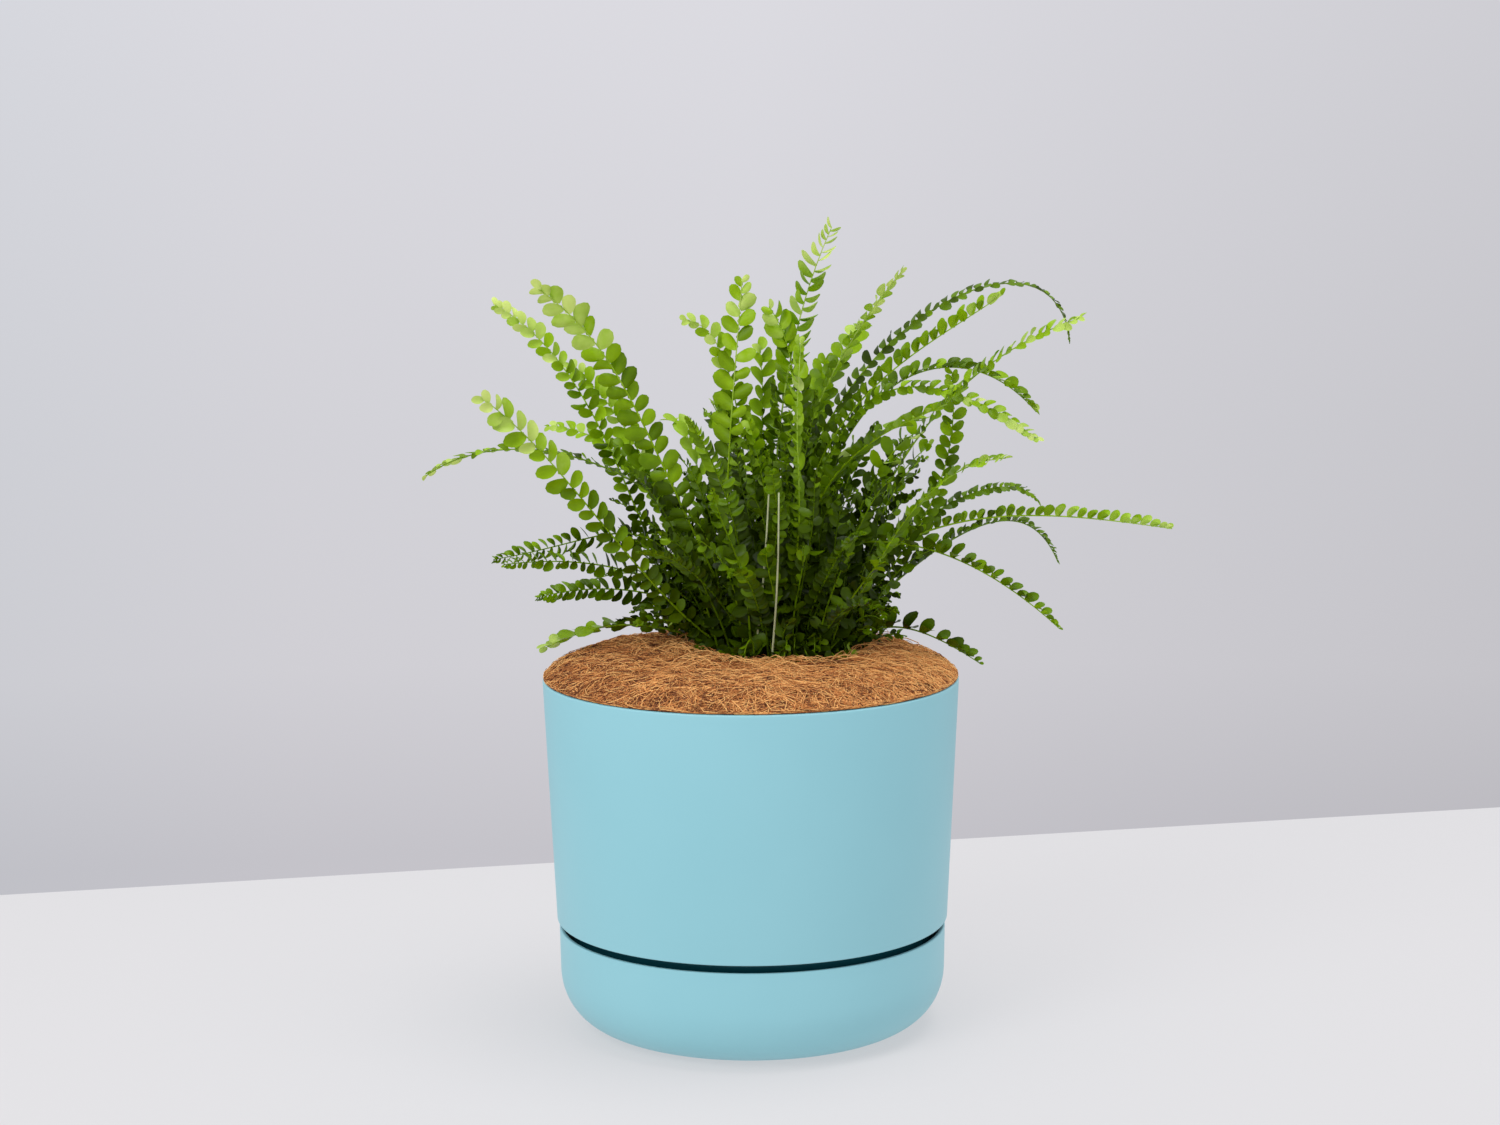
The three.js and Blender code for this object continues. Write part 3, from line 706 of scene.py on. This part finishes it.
def collar_fibres(count, seed):
    """Coarser, raised fibres where the mat was torn open for the plant. They mostly follow the hole,
    and heap up on its left side."""
    rng = np.random.default_rng(seed)
    side = rng.choice([1.1, 1.4], count)
    turn = np.where(rng.uniform(0, 1, count) < 0.5, rng.normal(side, 0.18), rng.uniform(0, 2, count)) * np.pi
    heap = np.exp(-((turn / np.pi - 1.15) / 0.28) ** 2)
    far = hole_radius(turn) + rng.exponential(1, count) * (5 + 7 * heap) * MM
    x, y = CROWN.x + far * np.cos(turn), CROWN.y + far * np.sin(turn)
    heading = turn + np.pi / 2 + rng.normal(0, 0.9, count)
    # The low fibres are dark and the raised ones pale: painted shade down in the torn collar, painted light
    # on the fibres standing up.
    low = fibres(rng, x[::2], y[::2], heading[::2], 1.4, (14 * MM, 36 * MM), (0.35 * MM, 0.7 * MM),
                 (0.5 * MM, 3 * MM), 0.18)
    high = fibres(rng, x[1::2], y[1::2], heading[1::2], 1.7, (14 * MM, 38 * MM), (0.3 * MM, 0.6 * MM),
                  (2 * MM, 7.5 * MM), 0.86)
    return [low, high]


def side_fibres(count, seed):
    """Fibres pressed round the mat's upright side, seen when it is lifted out of the pot."""
    rng = np.random.default_rng(seed)
    t = np.linspace(-0.5, 0.5, STRAND_STEPS)[None, :]
    arc_length = rng.uniform(8, 26, count)[:, None] * MM
    turn = rng.uniform(0, 2 * np.pi, count)[:, None] + t * arc_length / COIR_EDGE
    middle = rng.uniform(COIR_UNDER_Z + 2 * MM, RIM_Z - 2 * MM, count)[:, None]
    z = np.clip(middle + rng.normal(0, 6 * MM, count)[:, None] * t, COIR_UNDER_Z + MM, RIM_Z - MM)
    down = (RIM_Z - z) / (RIM_Z - COIR_UNDER_Z)
    radius = COIR_EDGE - COIR_SIDE_DRAW * down ** 0.5 - 0.3 * MM - 0.4 * MM * np.abs(2 * t) ** 2
    lines = np.stack([radius * np.cos(turn), radius * np.sin(turn), z], axis=-1)
    thick = rng.uniform(0.3, 0.6, count)[:, None] * MM * (1 - 0.5 * np.abs(2 * t) ** 3)
    points, quads = tubes(lines, thick / 2, STRAND_SIDES)
    tint = np.clip(rng.normal(0.45, 0.25, count), 0, 1)
    return points, quads, np.repeat(tint, STRAND_STEPS * STRAND_SIDES)


def make_coir():
    # The pale tint rises from layer to layer: painted shade on the lower fibres under the others, painted
    # light on the upper ones.
    layers = [
        ("coir_lower", 3400, 21, (14, 36), (0.45, 0.80), (0, 0.6), 0.22),
        ("coir_middle", 4400, 22, (12, 30), (0.30, 0.56), (0.3, 1.3), 0.45),
        ("coir_upper", 4000, 23, (8, 26), (0.22, 0.42), (0.8, 2.4), 0.70),
    ]
    pieces = {"coir_mat": [coir_mat()]}
    for name, count, seed, reach, width, clearance, pale in layers:
        pairs = [(low * MM, high * MM) for low, high in (reach, width, clearance)]
        pieces[name] = [scattered_fibres(count, seed, *pairs, pale)]
    pieces["coir_collar"] = collar_fibres(1400, 24)
    pieces["coir_edge"] = [edge_fibres(1500, 26)]
    pieces["coir_side"] = [side_fibres(2200, 25)]
    for name, parts in pieces.items():
        add_piece(name, strand_mesh(name, parts), COIR, "bedding", "coir", "coir_mulch")


make_coir()

# ------------------------------------------------------------------ potting mix and root ball

ROOT_FOOT_RADIUS = 40 * MM
ROOT_TOP_RADIUS = 46.5 * MM
ROOT_BOTTOM_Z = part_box("root_ball")[0].z
ROOT_TOP_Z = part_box("root_ball")[1].z


def roughened(mesh, amount, scale, seed):
    """Moves each point of a mesh inwards by noise, and a little at random."""
    rng = np.random.default_rng(seed)
    co = np.zeros(len(mesh.vertices) * 3, np.float32)
    mesh.vertices.foreach_get("co", co)
    co = co.reshape(-1, 3).astype(float)
    normals = np.array([v.normal for v in mesh.vertices])
    wave = soft_noise(co[:, 0] + co[:, 2], co[:, 1] - co[:, 2], scale, seed)
    push = amount * (-0.6 + 0.5 * wave + rng.uniform(-0.5, 0.4, len(co)))
    co += normals * np.minimum(push, 0)[:, None]
    mesh.vertices.foreach_set("co", co.astype(np.float32).ravel())
    mesh.update()


def ring_stack(outline, spacing):
    """The outline with extra points on its longer sides, about spacing apart."""
    dense = []
    for (r0, z0), (r1, z1) in zip(outline, outline[1:]):
        parts = max(1, round(math.hypot(r1 - r0, z1 - z0) / spacing))
        dense += [(r0 + (r1 - r0) * i / parts, z0 + (z1 - z0) * i / parts) for i in range(parts)]
    return dense + [outline[-1]]


def root_ball_outline(gap=0):
    """The root ball's outline, with a gap round its foot and side."""
    return [(0, ROOT_BOTTOM_Z - gap), (ROOT_FOOT_RADIUS + gap, ROOT_BOTTOM_Z - gap),
            (ROOT_TOP_RADIUS + gap, ROOT_TOP_Z), (0, ROOT_TOP_Z)]


def make_potting_mix():
    gap = 0.6 * MM
    basket_in, plug_in = 24 * MM - gap, 30 * MM - gap
    low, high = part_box("potting_mix")[0].z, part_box("potting_mix")[1].z
    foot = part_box("drainage_platform")[1].z + 0.3 * MM
    ledge = SKIRT_Z + POT_WALL + 0.3 * MM
    neck = NECK_RADIUS - NECK_WALL - gap
    outline = [(0, low), (basket_in, low), (plug_in, foot - 10 * MM), (plug_in, foot)]
    outline += [(neck - 1.2 * MM, foot), (neck, ledge), (pot_inside(ledge) - gap, ledge)]
    outline += [(pot_inside(high) - gap, high), (0, high)]
    mass = lathe("mix", ring_stack(outline, 4 * MM), 160)
    roughened(mass, 1.6 * MM, 22 * MM, 31)
    pocket = lathe("pocket", root_ball_outline(gap), 64)
    pocket.transform(Matrix.Translation(CROWN))
    mesh = boolean(mass, pocket, "DIFFERENCE")
    add_piece("potting_mix_crumbs", mesh, SOIL, "bedding", "potting_mix", "potting_mix")


def make_root_ball():
    ball = lathe("root_ball_soil", ring_stack(root_ball_outline(), 3 * MM), 96)
    ball.transform(Matrix.Translation(CROWN))
    roughened(ball, 1.8 * MM, 14 * MM, 37)
    add_piece("root_ball_soil", ball, ROOTS, "fern", "root_ball", "root_ball")
    rng = np.random.default_rng(41)
    count, steps = 320, 12
    t = np.linspace(0, 1, steps)[None, :]
    turn = rng.uniform(0, 2 * np.pi, count)[:, None] + rng.normal(0, 0.9, count)[:, None] * t
    turn = turn + 0.12 * np.sin(t * rng.uniform(4, 12, count)[:, None])
    top = rng.uniform(0.35, 0.98, count)[:, None]
    share = np.clip(top - t * rng.uniform(0.15, 0.8, count)[:, None], 0.01, 0.99)
    wide = ROOT_FOOT_RADIUS + (ROOT_TOP_RADIUS - ROOT_FOOT_RADIUS) * share - 0.35 * MM
    lines = np.stack([CROWN.x + wide * np.cos(turn), CROWN.y + wide * np.sin(turn),
                      ROOT_BOTTOM_Z + (ROOT_TOP_Z - ROOT_BOTTOM_Z) * share], axis=-1)
    radii = rng.uniform(0.2, 0.45, count)[:, None] * MM * (1 - 0.6 * t)
    points, quads = tubes(lines, radii, 4)
    tint = np.repeat(rng.uniform(0.4, 1.0, count), steps * 4)
    mesh = strand_mesh("root_strands", [(points, quads, tint)])
    add_piece("root_strands", mesh, COIR, "fern", "root_ball", "root_ball")


make_potting_mix()
make_root_ball()

# ------------------------------------------------------------------ fern

# One row for each long frond, in the CAD model's order: the way it leans and its roll in degrees, its
# midline (distance from the crown and height over the rim, mm, at its foot, two handles and tip), its
# leaflets' length in mm, how far they stand up and turn on their own stalks in degrees, and the tint
# at its foot and tip, which is partly age and partly painted shade and light: dark at the foot, pale at the
# tip.
FRONDS = [
    (15, 25, (10, 4, -40, 168, 176, 297, 185, 194), 10, 10, 24, 0.22, 0.48),
    (330, 30, (12, 4, -4, 157, 84, 189, 148, 230), 9, 70, 12, 0.30, 0.80),
    (342, 20, (14, 4, 60, 93, 83, 180, 184, 215), 8.5, 15, 25, 0.30, 0.88),
    (4, 10, (12, 4, 14, 177, 103, 217, 157, 154), 9, 50, 16, 0.25, 0.72),
    (354, 50, (12, 4, 17, 181, 70, 202, 155, 140), 8, 20, 30, 0.30, 0.88),
    (322, 10, (16, 4, 77, 47, 87, 130, 163, 138), 9, 5, 40, 0.30, 0.86),
    (30, 25, (18, 4, 22, 42, 161, 133, 192, 87), 9, 10, 30, 0.25, 0.52),
    (348, 15, (18, 4, 46, 99, 136, 105, 237, 90), 7.5, 75, 12, 0.30, 0.92),
    (18, 10, (20, 4, 86, 55, 153, 122, 184, 55), 8.5, 40, 40, 0.25, 0.52),
    (332, 10, (18, 4, -20, 100, 110, 100, 184, 37), 12.5, 65, 12, 0.28, 0.54),
    (352, 20, (38, 5, 56, 35, 84, 30, 122, 4), 13, 70, 8, 0.24, 0.50),
    (20, 70, (30, 4, 70, 60, 125, 90, 113, 176), 9, 15, 20, 0.30, 0.72),
    (310, 0, (16, 4, 6, 104, 56, 138, 141, 168), 11, 20, 16, 0.30, 0.72),
    (30, 80, (6, 4, -16, 117, 0, 184, 39, 266), 11.5, 5, 74, 0.40, 0.98),
    (325, 17, (8, 4, -14, 131, 41, 191, 90, 243), 9, 10, 14, 0.36, 0.97),
    (200, 60, (12, 4, 48, 73, 30, 150, 22, 235), 12.5, 10, 12, 0.35, 0.84),
    (185, -70, (10, 4, 21, 95, 18, 212, 57, 212), 9, 10, 12, 0.42, 0.90),
    (200, 55, (8, 4, -2, 71, -30, 170, 7, 220), 12, 15, 40, 0.26, 0.84),
    (280, 52, (26, 6, 42, 70, 84, 120, 62, 202), 11, 10, 52, 0.36, 0.88),
    (215, 50, (12, 4, 74, 82, 87, 182, 169, 236), 13.5, 12, 14, 0.28, 0.98),
    (172, -75, (12, 4, 96, 24, 85, 174, 175, 221), 9, 10, 28, 0.26, 0.98),
    (155, -50, (12, 4, 79, 62, 83, 146, 143, 181), 10, 15, 16, 0.35, 0.85),
    (205, -88, (12, 4, 78, 22, 118, 118, 191, 173), 12, 8, 10, 0.26, 0.98),
    (183, 12, (14, 4, 41, 131, 162, 156, 213, 120), 8, 10, 15, 0.16, 0.94),
    (162, -50, (16, 4, 60, 40, 70, 145, 152, 143), 8, 15, 16, 0.35, 0.80),
    (190, -80, (16, 4, 88, 115, 85, 84, 174, 71), 12.5, 10, 66, 0.26, 0.60),
    (199, -60, (18, 4, 42, 34, 78, 78, 173, 72), 12.5, 10, 62, 0.26, 0.60),
    (168, -80, (20, 4, 47, 44, 103, 54, 154, 38), 11.5, 10, 62, 0.26, 0.60),
    (178, 25, (30, 6, 55, 23, 98, 37, 143, 12), 13, 5, 38, 0.24, 0.98),
    (228, 10, (20, 4, 60, 60, 85, 80, 125, 84), 9, 15, 66, 0.17, 0.50),
    (242, 10, (20, 4, 50, 80, 80, 140, 110, 162), 11, 10, 66, 0.12, 0.64),
    (256, 10, (20, 4, 60, 50, 90, 80, 118, 72), 8.5, 15, 66, 0.17, 0.48),
    (268, 10, (20, 4, 45, 80, 75, 140, 105, 130), 9, 15, 66, 0.18, 0.56),
    (294, 10, (20, 4, 55, 60, 85, 90, 120, 96), 8.5, 15, 66, 0.17, 0.52),
    (302, 10, (34, 5, 55, 40, 85, 62, 112, 44), 8.5, 15, 66, 0.15, 0.46),
    (40, 10, (18, 4, 46, 122, 66, 145, 121, 143), 10, 25, 16, 0.25, 0.70),
    (73, 10, (18, 4, 72, 50, 52, 116, 102, 180), 11, 10, 30, 0.22, 0.70),
    (57, 10, (16, 4, 18, 102, 40, 180, 98, 202), 11, 25, 16, 0.25, 0.75),
    (94, 10, (20, 4, 60, 50, 105, 80, 145, 58), 10, 25, 16, 0.25, 0.60),
    (108, 10, (16, 4, 34, 110, 23, 140, 45, 194), 12, 25, 16, 0.25, 0.75),
    (122, 10, (18, 4, 60, 70, 110, 110, 150, 88), 10, 25, 16, 0.25, 0.60),
    (136, 10, (16, 4, 69, 74, 70, 151, 96, 145), 13, 15, 16, 0.30, 0.88),
    (146, 10, (24, 4, 60, 40, 100, 60, 142, 42), 9, 25, 16, 0.25, 0.55),
]


def leaflet_template(rows, columns):
    """A unit leaflet: along (0 to 1), across (-0.5 to 0.5), cupping, which skin, and its quads.

    A thin closed lens: the top and the bottom skin share the rim. It is a little narrower where it joins
    the midrib, fuller on the side towards the frond's tip, and bends that way.
    """
    share = np.linspace(0, 1, rows + 1)
    half = 0.5 * (1 - np.abs(2 * share - 1) ** 2.8) ** 0.5
    half *= 0.72 + 0.28 * np.clip(share / 0.55, 0, 1)
    half = np.maximum(half, [0.2] + [0.02] * (rows - 1) + [0.14])
    side = np.linspace(-1, 1, columns + 1)
    along = np.repeat(share[:, None], columns + 1, axis=1)
    along = along + 0.10 * share[:, None] * side[None, :] * (1 - share[:, None])
    tipward = np.where(side > 0, 1.12, 0.88)
    across = half[:, None] * (side * tipward)[None, :] + 0.14 * share[:, None] ** 2
    cup = 0.12 * side[None, :] ** 2 * np.sin(np.pi * share)[:, None] - 0.15 * share[:, None] ** 2
    rim = np.zeros(along.shape, bool)
    rim[0] = rim[-1] = True
    rim[:, 0] = rim[:, -1] = True
    top = np.arange(rim.size).reshape(rim.shape)
    bottom = top.copy()
    bottom[~rim] = rim.size + np.arange((~rim).sum())
    flat = [a.ravel() for a in (along, across, cup)]
    flat = [np.concatenate([a, a[~rim.ravel()]]) for a in flat]
    skin = np.concatenate([np.where(rim.ravel(), 0.0, 1.0), np.full((~rim).sum(), -1.0)])
    upper = np.stack([top[:-1, :-1], top[1:, :-1], top[1:, 1:], top[:-1, 1:]], axis=-1).reshape(-1, 4)
    lower = np.stack([bottom[:-1, :-1], bottom[:-1, 1:], bottom[1:, 1:], bottom[1:, :-1]], axis=-1)
    return (*flat, skin, np.concatenate([upper, lower.reshape(-1, 4)]))


FINE_LEAFLET = leaflet_template(6, 4)
PLAIN_LEAFLET = leaflet_template(5, 2)
LEAFLET_THICKNESS = 0.15 * MM
LEAFLET_SPACING = 0.43  # between neighbours on opposite sides, as a share of a leaflet's length
LEAFLET_WIDTH = (0.64, 0.80)  # as a share of its length
STANDING_LIFT = 60  # from this lift on, in degrees, leaflets stand in pairs, side by side
YOUNG_TINT = 0.65  # a frond whose tip is paler than this is a young one
YOUNG_BUD, OLD_BUD = 0.55, 0.4  # the last leaflet's size, as a share of full size
BUD_SHARE = 0.08  # of a frond's length, where its leaflets shrink into a crowded tip


def normalised(v):
    return v / (np.linalg.norm(v, axis=-1, keepdims=True) + 1e-12)


def frond_midline(lean, line, steps=60):
    """Points along a frond's cubic curve, evenly spaced, its length, and the level direction across it."""
    angle = math.radians(lean)
    out = np.array([math.cos(angle), math.sin(angle), 0])
    crown = np.array([CROWN.x, CROWN.y, RIM_Z])
    handles = [crown + out * line[i] * MM + np.array([0, 0, line[i + 1] * MM]) for i in range(0, 8, 2)]
    t = np.linspace(0, 1, 400)[:, None]
    curve = ((1 - t) ** 3 * handles[0] + 3 * (1 - t) ** 2 * t * handles[1]
             + 3 * (1 - t) * t ** 2 * handles[2] + t ** 3 * handles[3])
    walked = np.concatenate([[0], np.cumsum(np.linalg.norm(np.diff(curve, axis=0), axis=1))])
    even = np.linspace(0, walked[-1], steps)
    midline = np.stack([np.interp(even, walked, curve[:, k]) for k in range(3)], axis=-1)
    return midline, walked[-1], np.array([-math.sin(angle), math.cos(angle), 0])


def leaflet_places(rng, length, leaflet, turn, bare, young, sparse):
    """How far along a frond each leaflet sits (0 to 1), and its length in metres.

    A young frond's leaflets are largest towards its tip, and an old one's towards its foot. Turned
    leaflets stand closer together. sparse spreads them out.
    """
    spacing = LEAFLET_SPACING * (1 - 0.45 * turn / 90) * sparse
    bud = YOUNG_BUD if young else OLD_BUD
    shares, sizes = [], []
    walked = bare * length
    while walked < length:
        share = walked / length
        grown = min(1, 0.55 + 0.62 * share) if young else min(1, 0.8 + share) * (1 - 0.5 * share ** 2)
        grown *= min(1, bud + (1 - bud) * (1 - share) / BUD_SHARE)
        size = leaflet * grown * rng.uniform(0.82, 1.14)
        shares.append(share)
        sizes.append(size)
        walked += size * spacing * rng.uniform(0.85, 1.2)
    return np.array(shares), np.array(sizes)


def frond_parts(rng, lean, roll, line, leaflet, lift, turn, foot_age_and_shading, tip_age_and_shading, template, bare=0.07,
                loose=1.0, sparse=1.0):
    """The midrib and leaflets of one frond, as (points, quads, tint) parts.

    loose scales how much its midline sways and its leaflets turn out of line.
    """
    midline, length, level = frond_midline(lean, line)
    share = np.linspace(0, 1, len(midline))
    sway = loose * length * 0.016 * np.sin(share * rng.uniform(5, 9) + rng.uniform(0, 6)) * share
    midline = midline + level * sway[:, None]
    tangent = normalised(np.gradient(midline, axis=0))
    rib = (0.85 - 0.58 * share) * MM
    points, quads = tubes(midline[None], rib[None], 6)
    parts = [(points, quads, np.repeat(np.clip(foot_age_and_shading + 0.24 + 0.35 * share * tip_age_and_shading, 0, 1), 6))]

    u, size = leaflet_places(rng, length, leaflet * MM, turn, bare, tip_age_and_shading > YOUNG_TINT, sparse)
    count = len(u)
    if lift >= STANDING_LIFT:
        u[1::2] = u[:count // 2 * 2:2]
    side = np.where(np.arange(count) % 2 == 0, 1.0, -1.0)[:, None]
    place = np.stack([np.interp(u, share, midline[:, k]) for k in range(3)], axis=-1)
    t = normalised(np.stack([np.interp(u, share, tangent[:, k]) for k in range(3)], axis=-1))
    spin = math.radians(roll) + rng.normal(0, 0.08) + 0.25 * loose * np.sin(u * 5 + rng.uniform(0, 6))
    flat = normalised(level - t * (t @ level)[:, None])
    up = np.cross(t, flat)
    across = flat * np.cos(spin)[:, None] + up * np.sin(spin)[:, None]
    up = np.cross(t, across)

    rise = np.radians(lift + rng.normal(0, 10 * loose, count))[:, None]
    ahead = np.radians(18 + 25 * u ** 4 + rng.normal(0, 9 * loose, count))[:, None]
    outward = across * side * np.cos(rise) + up * np.sin(rise)
    d = normalised(outward * np.cos(ahead) + t * np.sin(ahead))
    s = normalised(t - d * np.sum(t * d, axis=1, keepdims=True))
    n = np.cross(d, s) * -side
    twist = np.radians(turn + rng.normal(0, 16 * loose, count))[:, None]
    s, n = s * np.cos(twist) + n * np.sin(twist), n * np.cos(twist) - s * np.sin(twist)

    along, wide, cup, skin, leaf_quads = template
    width = size * rng.uniform(*LEAFLET_WIDTH, count)
    curl = size * rng.uniform(0.3, 1.7, count)
    height = cup[None] * curl[:, None] + skin[None] * LEAFLET_THICKNESS
    leaf_points = (place[:, None] + (along[None] * size[:, None])[:, :, None] * d[:, None]
                   + (wide[None] * width[:, None])[:, :, None] * s[:, None] + height[:, :, None] * n[:, None])
    first = (np.arange(count) * len(along))[:, None, None]
    facing = np.where(side[:, :, None] > 0, leaf_quads[None, :, ::-1], leaf_quads[None])
    # Tint from foot to tip: partly age, partly painted shade that keeps the lower parts dark and painted
    # light that makes the tips pale.
    age_and_shading = foot_age_and_shading + (tip_age_and_shading - foot_age_and_shading) * u ** 1.8 + rng.normal(0, 0.05 + 0.04 * loose, count)
    tints = np.repeat(np.clip(age_and_shading, 0, 1), len(along))
    parts.append((leaf_points.reshape(-1, 3), (facing + first).reshape(-1, 4), tints))
    return parts


def foliage_mesh(name, parts):
    """A strand mesh whose leaflets have crisp rims, so that both skins shade as flat leaves."""
    mesh = strand_mesh(name, parts)
    mesh.set_sharp_from_angle(angle=math.radians(70))
    return mesh


def make_long_fronds():
    for i, frond in enumerate(FRONDS, start=1):
        parts = frond_parts(np.random.default_rng(100 + i), *frond, FINE_LEAFLET, loose=0.8)
        name = f"fern_frond_{i:02d}"
        add_piece(name, foliage_mesh(name, parts), LEAF, "fern", "foliage", f"frond_{i:02d}")


INNER_FRONDS = 128
BASAL_FRONDS = 130
INNER_GROUPS = 16
CLUMP_FOOT = 44  # mm, how far from the crown the outermost inner frond starts
BASAL_FEET = (32, 46)  # mm
LOW_HEIGHTS = (35, 75)  # mm, for every fourth frond in the clump's outer part
TALL_HEIGHTS = (75, 190)  # mm, for the others, in the middle
TALL_DROP = 55  # mm, how much lower the tallest are at the outside
GOLDEN_ANGLE = 137.5


def make_inner_fronds():
    """The dense middle: short fronds that fan out of the crown, set out in a spiral, in groups.

    Basal fronds, shorter still, stand out over the mat all round the clump's foot, and furthest on its
    left. The front ones droop over the edge of the mat's hole.
    """
    rng = np.random.default_rng(500)
    groups = [[] for _ in range(INNER_GROUPS)]
    for k in range(INNER_FRONDS):
        out = math.sqrt((k + 0.5) / INNER_FRONDS)
        foot = CLUMP_FOOT * out
        low = k % 4 == 3 and out > 0.5
        lowest, tallest = LOW_HEIGHTS if low else TALL_HEIGHTS
        height = rng.uniform(lowest, tallest if low else tallest - TALL_DROP * out)
        spread = rng.uniform(0.2, 1.0) * (14 + 72 * out) * (0.7 if low else 1)
        line = (foot, 3, foot + 0.15 * spread, 0.40 * height, foot + 0.5 * spread, 0.90 * height,
                foot + spread, height)
        # Tints for age and painted shading: dark feet deep in the clump, tips paler the taller the frond.
        foot_tint = rng.uniform(0.06, 0.28)
        tip_tint = foot_tint + 0.42 * height / 165 * rng.uniform(0.3, 1.4)
        groups[k % INNER_GROUPS] += frond_parts(
            rng, k * GOLDEN_ANGLE, rng.uniform(-80, 80), line, rng.uniform(8.5, 12.5), rng.uniform(0, 35),
            rng.uniform(30, 85), foot_tint, tip_tint, PLAIN_LEAFLET, bare=rng.uniform(0.02, 0.15),
            loose=2.0, sparse=1.35)
    for k in range(BASAL_FRONDS):
        lean = k * GOLDEN_ANGLE
        to_right, to_front = math.cos(math.radians(lean)), -math.sin(math.radians(lean))
        tip_rise = 0.4 if to_front > 0.6 else 0.9
        reach = 1
        if to_right > 0.8:
            reach = 1.7
        if to_right < -0.4 and to_front < 0.4:
            reach = 2.7
        foot = rng.uniform(*BASAL_FEET)
        height, spread = rng.uniform(14, 36) * reach ** 0.5, rng.uniform(6, 22) * reach
        line = (foot, 0, foot + 0.1 * spread, 0.7 * height, foot + 0.5 * spread, 1.1 * height,
                foot + spread, tip_rise * height)
        # Low basal fronds keep dark tints: painted shade at the clump's foot, besides their age.
        groups[k % INNER_GROUPS] += frond_parts(
            rng, lean, rng.uniform(-70, 70), line, rng.uniform(7.5, 10), rng.uniform(0, 40),
            rng.uniform(0, 70), rng.uniform(0.14, 0.28), rng.uniform(0.2, 0.5), PLAIN_LEAFLET, bare=0.1,
            loose=2.2, sparse=1.2)
    for i, parts in enumerate(groups, start=1):
        name = f"fern_inner_{i:02d}"
        add_piece(name, foliage_mesh(name, parts), LEAF, "fern", "foliage", "fern_clump")


def make_bare_stems():
    """Two pale old stalks that have lost their leaflets, at the front of the clump."""
    feet_and_tops = [((-6.5, -46, 0), (-1, -76, 116)), ((-17, -30, 0), (-6.5, -75, 122))]
    steps = 12
    t = np.linspace(0, 1, steps)[:, None]
    lines = []
    for foot, top in feet_and_tops:
        start, end = np.array(foot) * MM, np.array(top) * MM
        bow = np.array([1.5 * MM, 0, 0]) * np.sin(np.pi * t)
        lines.append(start + (end - start) * t + bow + np.array([CROWN.x, CROWN.y, RIM_Z]))
    radii = np.tile((0.72 - 0.25 * t[:, 0]) * MM, (len(lines), 1))
    points, quads = tubes(np.array(lines), radii, 8)
    mesh = strand_mesh("bare_stems", [(points, quads, np.full(len(points), 0.9))])
    add_piece("bare_stems", mesh, STEM, "fern", "foliage", "fern_clump")


make_long_fronds()
make_inner_fronds()
make_bare_stems()
